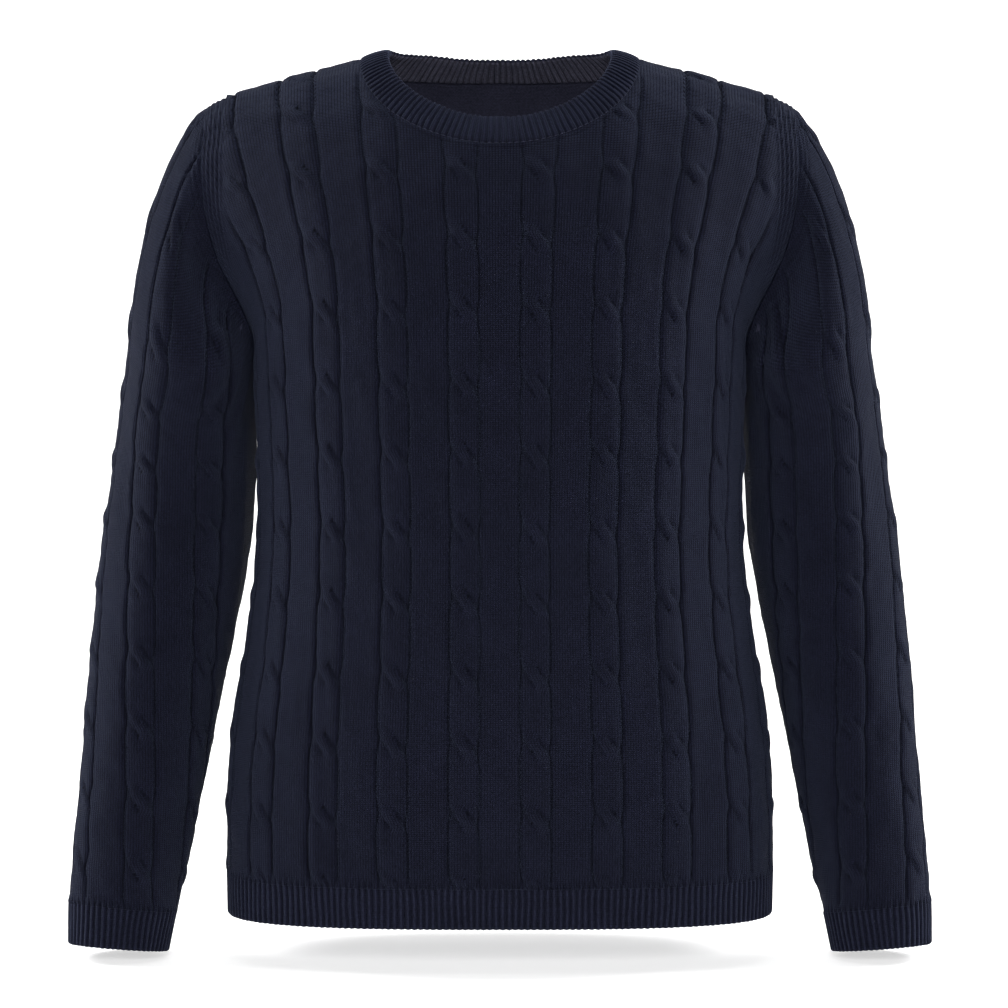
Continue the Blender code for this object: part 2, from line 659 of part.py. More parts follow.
def zipped(first, second, first_share, second_share, ring):
    """Triangles between two rows of points, always stepping along the row that is behind."""
    rows = [list(first), list(second)]
    at = [list(first_share), list(second_share)]
    if ring:
        for k in (0, 1):
            rows[k].append(rows[k][0])
            at[k].append(1.0)
    faces, i, j = [], 0, 0
    while i < len(rows[0]) - 1 or j < len(rows[1]) - 1:
        done_first, done_second = i == len(rows[0]) - 1, j == len(rows[1]) - 1
        if done_second or not done_first and at[0][i] + at[0][i + 1] <= at[1][j] + at[1][j + 1] + 1e-9:
            faces.append((rows[0][i], rows[0][i + 1], rows[1][j]))
            i += 1
        else:
            faces.append((rows[0][i], rows[1][j + 1], rows[1][j]))
            j += 1
    return faces


def even(number):
    """The nearest even whole number."""
    return 2 * round(number / 2)


def hem_rib(name, side):
    """Front or back half of the ribbed hem, from side seam to side seam."""
    form = body_form(side)
    edge = HALF_PANEL - SEAM_GAP / 2

    def place(share, upper):
        height = HEM_SEAM - SEAM_GAP / 2 if upper else HEM_BOTTOM
        flat = np.stack([(2 * share - 1) * edge, np.full(len(share), height)], -1)
        normals = normals_of(form, flat, -side)
        return form(flat[:, 0], flat[:, 1]), normals, normals

    return ribbed(name, place, even(2 * HALF_PANEL / HEM_RIB_PITCH), RIB_KNIT)


def cuff(name, side):
    """One ribbed cuff, open along the underarm seam like its sleeve."""
    form = sleeve_form(side)
    low, high = along_at(CUFF_BOTTOM), along_at(CUFF_SEAM) - SEAM_GAP / 2

    def place(share, upper):
        along = np.full(len(share), high if upper else low)
        flat = np.stack([(2 * share - 1) * (half_round(along) - SEAM_GAP / 2), along], -1)
        normals = normals_of(form, flat, -side)
        return form(flat[:, 0], flat[:, 1]), normals, normals

    return ribbed(name, place, even(2 * float(half_round(high)) / CUFF_RIB_PITCH), RIB_KNIT)


def neck_seam():
    """The neck seam once round from the back's middle: its points and the panels' normals there."""
    points, normals = [], []
    for side, turns in ((1, (0, 90)), (-1, (90, -90)), (1, (-90, 0))):
        steps = round(abs(turns[1] - turns[0]) * 1.5)
        flat = neckline(side, np.radians(np.linspace(*turns, steps + 1)[:-1]))
        points.append(body_form(side)(flat[:, 0], flat[:, 1]))
        normals.append(normals_of(body_form(side), flat, -side))
    return closed(np.concatenate(points)), closed(np.concatenate(normals))


def neckband(name):
    """The ribbed neckband, a ring that stands up from the neck seam and leans inwards."""
    seam, panel_normals = neck_seam()
    run = run_length(seam)
    turn = np.degrees(np.arctan2(np.abs(seam[:, 0]), -seam[:, 1]))
    width, depth, rise = (smooth_table(turn, BAND_TOP, k) for k in (1, 2, 3))
    top = np.stack([seam[:, 0] * width, BAND_CENTRE + (seam[:, 1] - BAND_CENTRE) * depth,
                    seam[:, 2] + rise], -1)
    tangent = np.gradient(seam, axis=0)
    tangent[0] = tangent[-1] = seam[1] - seam[-2]
    stand = unit(top - seam)
    face = unit(np.cross(tangent, stand))
    face *= np.sign(face[:, 2:3])

    def place(share, upper):
        at = share * run[-1]
        points = read_curve(at, run, top if upper else seam + stand * BAND_GAP)
        normals = read_curve(at, run, face)
        return points, normals, normals if upper else read_curve(at, run, panel_normals)

    return ribbed(name, place, even(run[-1] / BAND_RIB_PITCH), BAND_KNIT, ring=True)


def main():
    for item in list(bpy.data.objects):
        bpy.data.objects.remove(item, do_unlink=True)
    body_panel("front_panel", -1)
    body_panel("back_panel", 1)
    sleeve("sleeve_left", 1)
    sleeve("sleeve_right", -1)
    hem_rib("hem_rib_front", -1)
    hem_rib("hem_rib_back", 1)
    cuff("cuff_left", 1)
    cuff("cuff_right", -1)
    neckband("neckband")


main()
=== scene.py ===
import math

import bpy
import numpy as np
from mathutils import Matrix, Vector, kdtree
from mathutils.geometry import delaunay_2d_cdt


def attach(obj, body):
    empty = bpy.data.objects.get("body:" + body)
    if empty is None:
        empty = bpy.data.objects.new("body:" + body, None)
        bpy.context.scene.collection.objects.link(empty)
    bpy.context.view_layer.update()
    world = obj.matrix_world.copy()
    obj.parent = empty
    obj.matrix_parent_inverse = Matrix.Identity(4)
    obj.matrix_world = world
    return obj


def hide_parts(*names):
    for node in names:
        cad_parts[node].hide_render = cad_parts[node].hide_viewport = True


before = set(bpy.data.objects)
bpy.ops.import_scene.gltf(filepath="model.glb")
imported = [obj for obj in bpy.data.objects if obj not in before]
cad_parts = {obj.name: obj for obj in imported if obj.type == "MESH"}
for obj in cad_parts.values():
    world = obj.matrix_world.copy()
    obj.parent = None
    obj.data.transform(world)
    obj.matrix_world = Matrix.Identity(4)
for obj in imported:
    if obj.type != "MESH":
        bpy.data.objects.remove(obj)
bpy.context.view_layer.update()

# Metres, +Z up, the front faces -Y. A flat point of the body is (across, height), and one of a
# sleeve is (across, along), both in metres of cloth, as in the cut pieces.
seamGap = 0.0001
sameLine = 0.0001            # points this close to a line lie on it
shellCloth = 0.0027          # how thick the knit is between the cables

bodyCut = {
    "hemBottom": -0.6775,
    "hemSeam": -0.6450,
    "underarm": -0.230,
    "shoulderRun": 0.290,        # cloth from the underarm's height to the shoulder seam
    "halfPanel": 0.275,
    "shoulderStretch": 0.064 / 0.055,
    "neckAcross": 0.0946,
    "neckDrop": {-1: 0.169, 1: 0.074},   # below the shoulder seam, at the front and at the back
    # height, half width, front depth, back depth, roundness
    "sections": [
        (-0.6775, 0.2150, 0.0980, 0.0930, 2.9),
        (-0.6450, 0.2158, 0.1020, 0.0950, 2.8),
        (-0.5900, 0.2160, 0.1080, 0.0970, 2.6),
        (-0.5270, 0.2120, 0.1150, 0.0980, 2.4),
        (-0.4550, 0.2010, 0.1220, 0.0975, 2.3),
        (-0.3830, 0.1930, 0.1270, 0.0990, 2.3),
        (-0.3100, 0.1930, 0.1315, 0.1070, 2.35),
        (-0.2300, 0.1950, 0.1330, 0.1150, 2.45),
    ],
    # from the middle, height
    "shoulder": [
        (0.000, 0.0130), (0.060, 0.0090), (0.112, 0.0000), (0.136, -0.0060), (0.160, -0.0118),
        (0.184, -0.0182), (0.208, -0.0250), (0.236, -0.0385), (0.270, -0.0610), (0.330, -0.1100),
    ],
    # height, across
    "armhole": [
        (-0.230, 0.2750), (-0.222, 0.2662), (-0.208, 0.2574), (-0.188, 0.2491), (-0.160, 0.2387),
        (-0.128, 0.2260), (-0.095, 0.2145), (-0.060, 0.2063), (-0.020, 0.2018), (0.020, 0.2008),
        (0.060, 0.2013),
    ],
}
underarm = bodyCut["underarm"]
shoulderSeam = underarm + bodyCut["shoulderRun"]

sleeveCut = {
    "cuffSeam": -0.672,
    "cuffBottom": -0.704,
    "capHeight": 0.140,
    "capRound": 1.15,
    "capPull": 0.90,
    "capEntry": (-0.72, 0.0, 0.69),
    "capEntrySide": (0.25, 0.0, 0.12),
    "capFold": 0.55,
    "capFoldGap": 0.8,
    "sharedRim": (0.25, 0.55),
    "turn": math.radians(17.0),       # the forearm turns the knit a little to the front
    "turnRun": 0.40,
    "lineStep": 0.01,                 # how far above and below a height the arm's way is read
    "rimInset": 0.0015,               # how far inside the cap's edge its slope is read
    # height, centre x, centre y, half width, half depth
    "sections": [
        (-0.2300, 0.2456, 0.0000, 0.0501, 0.0645),
        (-0.2600, 0.2490, 0.0110, 0.0522, 0.0665),
        (-0.3000, 0.2525, 0.0200, 0.0555, 0.0660),
        (-0.3450, 0.2565, 0.0230, 0.0580, 0.0630),
        (-0.3900, 0.2618, 0.0195, 0.0590, 0.0600),
        (-0.4450, 0.2689, 0.0115, 0.0567, 0.0565),
        (-0.5100, 0.2773, 0.0010, 0.0528, 0.0525),
        (-0.5750, 0.2849, -0.0090, 0.0486, 0.0470),
        (-0.6250, 0.2919, -0.0165, 0.0456, 0.0415),
        (-0.6720, 0.2978, -0.0235, 0.0417, 0.0355),
        (-0.7040, 0.3005, -0.0280, 0.0383, 0.0320),
    ],
}
curveSteps = 240             # samples along a seam or round a section when its length is measured
nudge = 0.0004               # step for measuring how a form slopes


def smoothTable(at, table, column):
    rows = np.array(sorted(table), float)
    x, y = rows[:, 0], rows[:, column]
    slope = np.gradient(y, x)
    at = np.clip(np.asarray(at, float), x[0], x[-1])
    i = np.clip(np.searchsorted(x, at) - 1, 0, len(x) - 2)
    span = x[i + 1] - x[i]
    return easeBetween((at - x[i]) / span, y[i], y[i + 1], slope[i] * span, slope[i + 1] * span)


def easeBetween(u, first, last, start, end):
    rise = last - first
    return first + u * (start + u * (3 * rise - 2 * start - end + u * (start + end - 2 * rise)))


def smoothStep(u):
    u = np.clip(u, 0.0, 1.0)
    return u * u * (3 - 2 * u)


def unit(vectors):
    return vectors / np.maximum(np.linalg.norm(vectors, axis=-1, keepdims=True), 1e-12)


def runLength(points):
    steps = np.linalg.norm(np.diff(points, axis=-2), axis=-1)
    return np.concatenate([np.zeros(steps.shape[:-1] + (1,)), np.cumsum(steps, -1)], -1)


def rowLookup(keys, values, at):
    i = np.clip((keys < at[:, None]).sum(1) - 1, 0, keys.shape[1] - 2)
    rows = np.arange(len(at))
    low, high = keys[rows, i], keys[rows, i + 1]
    u = ((at - low) / np.maximum(high - low, 1e-9))[:, None]
    return values[rows, i] * (1 - u) + values[rows, i + 1] * u


def readCurve(at, run, points):
    return np.stack([np.interp(at, run, points[:, k]) for k in range(points.shape[1])], -1)


def normalsOf(form, flat, outward):
    across, along = flat[:, 0], flat[:, 1]
    over = form(across + nudge, along) - form(across - nudge, along)
    up = form(across, along + nudge) - form(across, along - nudge)
    return unit(np.cross(over, up)) * outward


def spread(start, end, step):
    return np.linspace(start, end, max(2, round(abs(end - start) / step) + 1))[:-1]


# The body's form: rounded sections below the arms, bent over the shoulder line above them
sectionSteps = 64


def oval(share, halfWidth, depth, power):
    turn = np.linspace(0, math.pi / 2, sectionSteps)
    x = halfWidth[:, None] * np.sin(turn) ** (2 / power[:, None])
    y = depth[:, None] * np.abs(np.cos(turn)) ** (2 / power[:, None])
    y[:, -1] = 0.0
    points = np.stack([x, y], -1)
    reach = runLength(points)
    return rowLookup(reach, points, share * reach[:, -1])


def bodyForm(side):
    def form(across, height):
        across, height = np.broadcast_arrays(np.asarray(across, float), np.asarray(height, float))
        level = np.minimum(height, underarm)
        reach = np.abs(across)
        halfWidth, depth, power = (smoothTable(level, bodyCut["sections"], column)
                                   for column in (1, 2 if side < 0 else 3, 4))
        around = oval(np.minimum(reach / bodyCut["halfPanel"], 1.0), halfWidth, depth, power)
        rise = np.clip((height - underarm) / bodyCut["shoulderRun"], 0.0, 1.05) * math.pi / 2
        up = np.sin(np.minimum(rise, math.pi / 2))
        ridgeX = bodyCut["shoulderStretch"] * reach
        x = around[:, 0] + (ridgeX - around[:, 0]) * smoothStep(up)
        z = level + (smoothTable(ridgeX, bodyCut["shoulder"], 1) - underarm) * up
        return np.stack([np.sign(across) * x, side * around[:, 1] * np.cos(rise), z], -1)
    return form


def armholeAcross(height):
    return smoothTable(height, bodyCut["armhole"], 1)


def neckline(side, turn):
    height = shoulderSeam - bodyCut["neckDrop"][side] * np.sqrt(np.maximum(np.cos(turn), 0.0))
    return np.stack([bodyCut["neckAcross"] * np.sin(turn), height], -1)


# The sleeve's form: rounded sections along the arm, and a cap that bends into the armhole
def armLine(height):
    x, y = (smoothTable(height, sleeveCut["sections"], column) for column in (1, 2))
    return np.stack([x, y, height], -1)


armHeights = np.linspace(sleeveCut["cuffBottom"], underarm, curveSteps)
armRun = runLength(armLine(armHeights))
armRun -= armRun[-1]


def alongAt(height):
    return float(np.interp(height, armHeights, armRun))


def sleeveSize(along):
    height = np.interp(along, armRun, armHeights)
    sections = sleeveCut["sections"]
    return height, smoothTable(height, sections, 3), smoothTable(height, sections, 4)


def halfRound(along):
    _, width, depth = sleeveSize(along)
    h = ((width - depth) / (width + depth)) ** 2
    return math.pi / 2 * (width + depth) * (1 + 3 * h / (10 + np.sqrt(4 - 3 * h)))


capHalf = float(halfRound(0.0))


def ringPoint(across, along):
    height, width, depth = sleeveSize(along)
    above = armLine(np.minimum(height + sleeveCut["lineStep"], underarm))
    below = armLine(np.maximum(height - sleeveCut["lineStep"], sleeveCut["cuffBottom"]))
    up = unit(above - below)
    forward = unit(np.cross(np.array([1.0, 0.0, 0.0]), -up))
    forward *= -np.sign(forward[:, 1:2])
    outward = np.cross(up, -forward)
    outward *= np.sign(outward[:, 0:1])
    steps = 2 * sectionSteps
    turns = np.broadcast_to(np.linspace(0, math.pi, steps), (len(along), steps))
    ring = np.stack([width[:, None] * np.cos(turns), depth[:, None] * np.sin(turns)], -1)
    reach = runLength(ring)
    share = np.clip(across / halfRound(along), -1.0, 1.0)
    turn = np.sign(share) * rowLookup(reach, turns[..., None], np.abs(share) * reach[:, -1])[:, 0]
    turn += sleeveCut["turn"] * smoothStep(-along / sleeveCut["turnRun"])
    place = armLine(height) + outward * (width * np.cos(turn))[:, None]
    return place + forward * (depth * np.sin(turn))[:, None], up


def capEdge(across):
    share = np.clip(np.abs(across) / capHalf, 0.0, 1.0)
    return sleeveCut["capHeight"] * (0.5 + 0.5 * np.cos(math.pi * share ** sleeveCut["capRound"]))


def armholeSeam(side):
    heights = np.linspace(shoulderSeam, underarm, curveSteps)
    flat = np.stack([armholeAcross(heights), heights], -1)
    form = bodyForm(side)
    edge = form(flat[:, 0], flat[:, 1])
    normal = normalsOf(form, flat, -side)
    away = unit(np.cross(np.gradient(edge, axis=0), normal))
    away *= np.sign(away[0, 0])
    share = runLength(edge)
    share /= share[-1]
    fold = smoothStep((share - sleeveCut["capFold"]) / (1 - sleeveCut["capFold"]))[:, None]
    clear = unit(away * (1 - fold) + normal * fold) * seamGap
    return share, edge + clear * (1 + sleeveCut["capFoldGap"] * fold), normal


capAcross = np.linspace(0, capHalf, curveSteps)
capShare = runLength(np.stack([capAcross, capEdge(capAcross)], -1))
capShare /= capShare[-1]
armholes = {side: armholeSeam(side) for side in (-1, 1)}


def leftSleeve(across, along):
    across, along = np.broadcast_arrays(np.asarray(across, float), np.asarray(along, float))
    low, up = ringPoint(across, np.minimum(along, 0.0))
    share = np.interp(np.abs(across), capAcross, capShare)
    front, back = (readCurve(share, *armholes[side][:2]) for side in (-1, 1))
    high = np.where((across > 0)[:, None], front, back)
    u = np.clip(along / np.maximum(capEdge(across), 1e-4), 0.0, 1.02)[:, None]
    pull = sleeveCut["capPull"] * np.linalg.norm(high - low, axis=1)[:, None]
    sideways = np.outer(np.sin(math.pi * share), sleeveCut["capEntrySide"])
    entry = unit(np.array(sleeveCut["capEntry"]) + sideways)
    return np.where((along > 0)[:, None], easeBetween(u, low, high, up * pull, entry * pull), low)


def sleeveForm(side):
    return lambda across, along: leftSleeve(across, along) * np.array([side, 1.0, 1.0])


def capAt(side, height):
    heights = np.linspace(shoulderSeam, underarm, curveSteps)
    share = np.interp(-height, -heights, armholes[side][0])
    return -side * np.interp(share, capShare, capAcross), share


def seamNormals(side, height):
    across, share = capAt(side, height)
    body = readCurve(share, armholes[side][0], armholes[side][2])
    belowEdge = np.stack([across, capEdge(across) - sleeveCut["rimInset"]], -1)
    sleeve = normalsOf(leftSleeve, belowEdge, -1)
    first, last = sleeveCut["sharedRim"]
    together = 1 - smoothStep((share - first) / (last - first))[:, None]
    return unit(body + sleeve * together), unit(sleeve + body * together)


# Knitting: what stands proud of the plain cloth
cable = {
    "pitch": 0.055,
    "period": 0.0545,
    "half": 0.0122,              # from its middle to the furrow on each side
    "pinch": 0.0017,             # how far a furrow draws in at a crossing
    "pinchAt": 0.0042,           # and how far from the crossing's middle
    "pinchReach": 0.0085,
    "furrow": 0.0017,            # depth of the purl furrows
    "furrowWidth": 0.00095,
    "bed": 0.0008,               # height of the two strands lying side by side
    "bedEdge": 0.0055,
    "bedClear": 0.0004,
    "crown": 0.0003,             # soft ridge of plain knit just outside a furrow
    "crownAt": 0.0034,
    "crownWidth": 0.0026,
    "crossReach": 0.0125,        # half the length of a crossing
    "crossFade": 1.4,            # how sharply a crossing rises and falls along its length
    "swing": 0.0050,             # how far the front strand moves across to each side
    "strandHalf": 0.0047,
    "strandFade": 0.0012,        # where the strand runs out beside a furrow
    "lift": 0.0016,
    "pocket": 0.0009,            # where the strand behind dives under
    "pocketWidth": 0.0017,
    "pocketGap": 0.0006,         # from the front strand to its pocket
    "pocketAt": 0.0050,          # along the cable from the crossing's middle
    "pocketReach": 0.0040,
    # painted shade in the pocket
    "pocketDark": 0.75,
    "outlineDark": 0.75,         # shade beside the front strand
    "lightLimit": 0.3,           # no light on a strand where the shade is deeper
    "jitter": 0.0011,            # no two crossings are quite alike
    "jitterTurns": (12.9, 78.2),
}


def pinchOf(u, v, hand):
    # the front strand pulls on the furrow at each of its ends
    off = v + hand * np.sign(u) * cable["pinchAt"]
    return cable["pinch"] * np.exp(-(off / cable["pinchReach"]) ** 2)


def cableRelief(u, v, hand):
    half = cable["half"] - pinchOf(u, v, hand)
    edge = np.abs(u)
    bed = cable["bed"] * smoothStep((half - cable["bedClear"] - edge) / cable["bedEdge"])
    crown = cable["crown"] * np.exp(-((edge - half - cable["crownAt"]) / cable["crownWidth"]) ** 2)
    furrow = np.exp(-((edge - half) / cable["furrowWidth"]) ** 2)
    t = np.clip(v / cable["crossReach"], -1.0, 1.0)
    middle = -hand * cable["swing"] * np.sin(t * math.pi / 2)
    lean = -hand * cable["swing"] * math.pi / 2 / cable["crossReach"] * np.cos(t * math.pi / 2)
    d = (u - middle) / np.sqrt(1 + lean ** 2)
    rounded = np.sqrt(np.maximum(1 - (d / cable["strandHalf"]) ** 2, 0.0))
    rise = np.cos(t * math.pi / 2) ** cable["crossFade"]
    strand = cable["lift"] * rise * rounded
    within = smoothStep((half - edge) / cable["strandFade"])
    off = np.abs(d) - cable["strandHalf"] - cable["pocketGap"]
    beside = np.exp(-(off / cable["pocketWidth"]) ** 2) * within
    inwards = np.sign(d) * hand * v
    pocket = beside * np.exp(-((inwards - cable["pocketAt"]) / cable["pocketReach"]) ** 2)
    relief = bed + strand * within + crown - cable["pocket"] * pocket
    relief -= cable["furrow"] * furrow
    # painted shade in the furrows, the pockets and beside the front strand, less a painted
    # highlight on the front strand, all for the yarn's colour
    dark = np.maximum(furrow, cable["pocketDark"] * pocket)
    dark = np.maximum(dark, cable["outlineDark"] * beside * rise)
    light = rise * rounded * (dark < cable["lightLimit"])
    slide = middle * rise * (rounded > 0)
    return relief, dark - light, slide


def cableNear(flat, centre, up, key):
    # the middle of the nearest cable, and how far a point lies across and along from its crossing
    row = np.round(up / cable["period"])
    perColumn, perRow = cable["jitterTurns"]
    jitter = cable["jitter"] * np.sin(key * perColumn + row * perRow)
    return centre, flat[:, 0] - centre, up - row * cable["period"] - jitter


tension = {
    "waves": ((0.010, 0.00010), (0.018, 0.00016), (0.045, 0.00035)),     # length, height
    "perWave": 4,
}
crease = {
    "bow": 0.12,
    "fade": 0.5,                 # half its length, as a share
    "ridge": 0.45,               # height of the low ridges, as a share of the trough's depth
    "ridgeWidth": 2.2,
}


def unevenness(flat, seed):
    # small differences in tension, a few stitches wide, made of waves with fixed phases
    source = np.random.default_rng(seed)
    total = np.zeros(len(flat))
    for size, height in tension["waves"]:
        for _ in range(tension["perWave"]):
            turn, phase = source.uniform(0, 2 * math.pi, 2)
            way = np.array([math.cos(turn), math.sin(turn)]) * 2 * math.pi / size
            total += height * np.sin(flat @ way + phase) / 2
    return total


def creaseRelief(flat, creases):
    # each crease is a soft trough with a low ridge on each side
    total = np.zeros(len(flat))
    for across, along, angle, length, width, depth in creases:
        way = np.array([math.cos(math.radians(angle)), math.sin(math.radians(angle))])
        rel = flat - (across, along)
        on, off = rel @ way, rel @ np.array([-way[1], way[0]])
        off = off + crease["bow"] * on ** 2 / length
        fade = np.exp(-(on / (crease["fade"] * length)) ** 4)
        ridges = crease["ridge"] * np.exp(-(off / (crease["ridgeWidth"] * width)) ** 2)
        total += depth * fade * (ridges - np.exp(-(off / width) ** 2))
    return total


# Cloth walls from flat pieces
def inside(points, outline):
    result = []
    x1, y1 = outline[:, 0], outline[:, 1]
    x2, y2 = np.roll(x1, -1), np.roll(y1, -1)
    slope = (x2 - x1) / np.where(y2 == y1, 1e-12, y2 - y1)
    for part in np.array_split(points, max(1, len(points) // 8000)):     # in batches
        x, y = part[:, 0, None], part[:, 1, None]
        result.append((((y1 > y) != (y2 > y)) & (x < slope * (y - y1) + x1)).sum(1) % 2 == 1)
    return np.concatenate(result)


def nearest(points, path):
    tree = kdtree.KDTree(len(path))
    for i, (x, y) in enumerate(path):
        tree.insert((x, y, 0.0), i)
    tree.balance()
    found = [tree.find((x, y, 0.0))[1:] for x, y in points.tolist()]
    return np.array([away for _, away in found]), np.array([i for i, _ in found])


def distanceTo(points, path):
    return nearest(points, path)[0]


def closely(path, step):
    run = runLength(path)
    return readCurve(np.arange(0, run[-1], step), run, path)


def closed(path):
    return np.concatenate([path, path[:1]])


def fill(outline, points):
    count = len(outline)
    edges = [(i, (i + 1) % count) for i in range(count)]
    flat = outline.tolist() + points.tolist()
    _, _, faces, origins, _, _ = delaunay_2d_cdt(flat, edges, [], 1, 1e-8)
    return np.array([[origins[v][0] for v in face] for face in faces])


# Points for the outer faces: close together on the furrows and the crossings, wider on plain knit
grid = {
    "row": 0.0027,
    "column": 0.0031,
    "furrow": (-0.0013, -0.0006, 0.0, 0.0006, 0.0013),
    "furrowSide": 0.0030,        # kept free of other columns on each side of a furrow
    "crossRow": 0.00175,
    "crossColumn": 0.0019,
    "crossEdge": 0.0024,         # from a furrow to the nearest fine column
    "pinchFade": 0.009,          # how far outside a cable its columns follow the pinch
    "inner": 0.0058,
    "innerClear": 0.4,           # of a step, kept free along the outline inside
    "outline": 0.0021,
    "clear": 0.00063,            # kept free along the outline
    "beside": 0.0008,            # kept free between these points and the rows beside a seam
    "rowClear": 0.001,           # from a seam to the first row beside it, and past the last one
    "rowSlack": 0.0002,
    "trace": 0.0006,             # step along a line that distances are measured to
    "seamRow": 0.0023,           # between the points of a row beside an armhole
    "capRow": 0.0016,
    "neckRow": 0.0013,
    "neckSteps": {-1: 260, 1: 170},
}


def traced(path):
    return closely(path, grid["trace"])


def staggered(columns, low, high, rowStep):
    x, y = np.meshgrid(columns, np.arange(low, high, rowStep))
    y = y + np.where(np.arange(len(columns)) % 2 == 1, rowStep / 2, 0.0)[None, :]
    return np.stack([x.ravel(), y.ravel()], -1)


def evenly(low, high, step):
    return np.linspace(low, high, round((high - low) / step) + 1)


def knitLattice(outline, centres, cableAt, hand):
    low, high = outline.min(0), outline.max(0)
    half, side = cable["half"], grid["furrowSide"]
    plain, bed, fine, furrow = [], [], [], []
    for c in centres:
        plain.append(c + evenly(half + side, cable["pitch"] - half - side, grid["column"]))
        bed.append(c + evenly(side - half, half - side, grid["column"]))
        inset = half - grid["crossEdge"]
        fine.append(c + evenly(-inset, inset, grid["crossColumn"]))
        furrow.append(c + np.concatenate([np.array(grid["furrow"]) + s * half for s in (-1, 1)]))
    coarse = staggered(np.concatenate(bed), low[1], high[1], grid["row"])
    coarse = coarse[np.abs(cableAt(coarse)[2]) >= cable["crossReach"]]
    close = staggered(np.concatenate(fine), low[1], high[1], grid["crossRow"])
    close = close[np.abs(cableAt(close)[2]) < cable["crossReach"]]
    beside = staggered(np.concatenate(plain), low[1], high[1], grid["row"])
    within = staggered(np.concatenate(furrow), low[1], high[1], grid["row"])
    points = np.concatenate([beside, coarse, close, within])
    _, u, v = cableAt(points)
    fade = smoothStep(1 - (np.abs(u) - half - side) / grid["pinchFade"])
    hold = np.minimum(np.abs(u) / half, 1.0) * fade
    points[:, 0] -= np.sign(u) * pinchOf(u, v, hand) * hold
    return points


def strip(path, offsets, step, turn):
    # rows of points that run beside a seam
    path = closely(path, step)
    way = unit(np.gradient(path, axis=0))
    away = np.stack([-way[:, 1], way[:, 0]], -1) * turn
    rows = np.concatenate([path + away * offset for offset in offsets])
    reach = np.repeat(offsets, len(path))
    return rows[distanceTo(rows, traced(path)) > reach - grid["rowSlack"]]


def settled(outline, groups):
    # keeps the points that lie within the piece, clear of its edge, with how far they are from it
    points = np.concatenate(groups)
    points = points[inside(points, outline)]
    away = distanceTo(points, traced(closed(outline)))
    kept = away > grid["clear"]
    return points[kept], away[kept]


def innerLattice(outline):
    low, high = outline.min(0), outline.max(0)
    points = staggered(np.arange(low[0], high[0], grid["inner"]), low[1], high[1], grid["inner"])
    points = points[inside(points, outline)]
    away = distanceTo(points, traced(closed(outline)))
    return points[away > grid["innerClear"] * grid["inner"]]


def makeMesh(name, places, faces, knit, furrow, smoothAngle=55.0):
    mesh = bpy.data.meshes.new(name)
    mesh.vertices.add(len(places))
    mesh.vertices.foreach_set("co", places.ravel())
    counts = np.array([len(face) for face in faces])
    loops = np.concatenate([np.asarray(face) for face in faces])
    mesh.loops.add(len(loops))
    mesh.loops.foreach_set("vertex_index", loops)
    mesh.polygons.add(len(faces))
    mesh.polygons.foreach_set("loop_start", np.concatenate([[0], np.cumsum(counts)[:-1]]))
    mesh.update(calc_edges=True)
    layer = mesh.uv_layers.new(name="stitches")
    layer.data.foreach_set("uv", knit[loops].ravel())
    # the furrow field carries painted shade, and below 0 a painted highlight, into the yarn's
    # colour
    field = mesh.attributes.new("furrow", "FLOAT", "POINT")
    field.data.foreach_set("value", furrow)
    mesh.polygons.foreach_set("use_smooth", [True] * len(faces))
    mesh.set_sharp_from_angle(angle=math.radians(smoothAngle))
    mesh.validate()
    piece = bpy.data.objects.new(name, mesh)
    bpy.context.scene.collection.objects.link(piece)
    return piece


def facesTurned(places, faces, outward):
    # one test triangle tells whether the filled face already looks outwards
    a, b, c = (places[faces[:, k]] for k in range(3))
    way = (np.cross(b - a, c - a) * outward).sum()
    return faces if way > 0 else faces[:, ::-1]


def clothWall(name, node, form, outward, outline, rimNormals, outer, inner, look):
    points, relief, furrow, knit = outer
    innerPoints, innerKnit = inner
    normals = normalsOf(form, points, outward)
    innerNormals = normalsOf(form, innerPoints, outward)
    rim = form(outline[:, 0], outline[:, 1])
    rimOuter = rim + rimNormals * look["rimRise"][:, None]
    face = form(points[:, 0], points[:, 1]) + normals * relief[:, None]
    back = form(innerPoints[:, 0], innerPoints[:, 1]) - innerNormals * shellCloth
    places = np.concatenate([rimOuter, face, rim - rimNormals * shellCloth, back])
    count, base = len(outline), len(outline) + len(face)
    ahead = fill(outline, points)
    behind = fill(outline, innerPoints)
    sample = np.concatenate([rimNormals, normals])
    ahead = facesTurned(places[:base], ahead, sample[ahead[:, 0]])
    sample = np.concatenate([rimNormals, innerNormals])
    behind = facesTurned(places[base:], behind, -sample[behind[:, 0]]) + base
    forwards = ((ahead == 0).any(1) & (ahead == 1).any(1))
    first = ahead[forwards][0].tolist()
    onwards = first[(first.index(0) + 1) % 3] == 1
    rims = []
    for i in range(count):
        j = (i + 1) % count
        a, b = (j, i) if onwards else (i, j)
        rims.append([a, b, base + b, base + a])
    faces = ahead.tolist() + behind.tolist() + rims
    flatKnit = np.concatenate([look["rimKnit"], knit, look["rimKnit"], innerKnit])
    # painted shade and highlight of the rim and the outer face; none on the inside
    flatPaintedShade = np.concatenate([look["rimDark"], furrow, np.zeros(count + len(back))])
    piece = makeMesh(name, places, faces, flatKnit, flatPaintedShade)
    piece.data.materials.append(knitYarn)
    # the inside faces take the purl yarn, painted lighter to stand in for light inside the garment
    piece.data.materials.append(litPurlYarn)
    index = np.zeros(len(faces), int)
    index[len(ahead):len(ahead) + len(behind)] = 1
    piece.data.polygons.foreach_set("material_index", index)
    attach(piece, "root")
    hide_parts(node)
    print(name, len(places), "points", len(faces), "faces")
    return piece


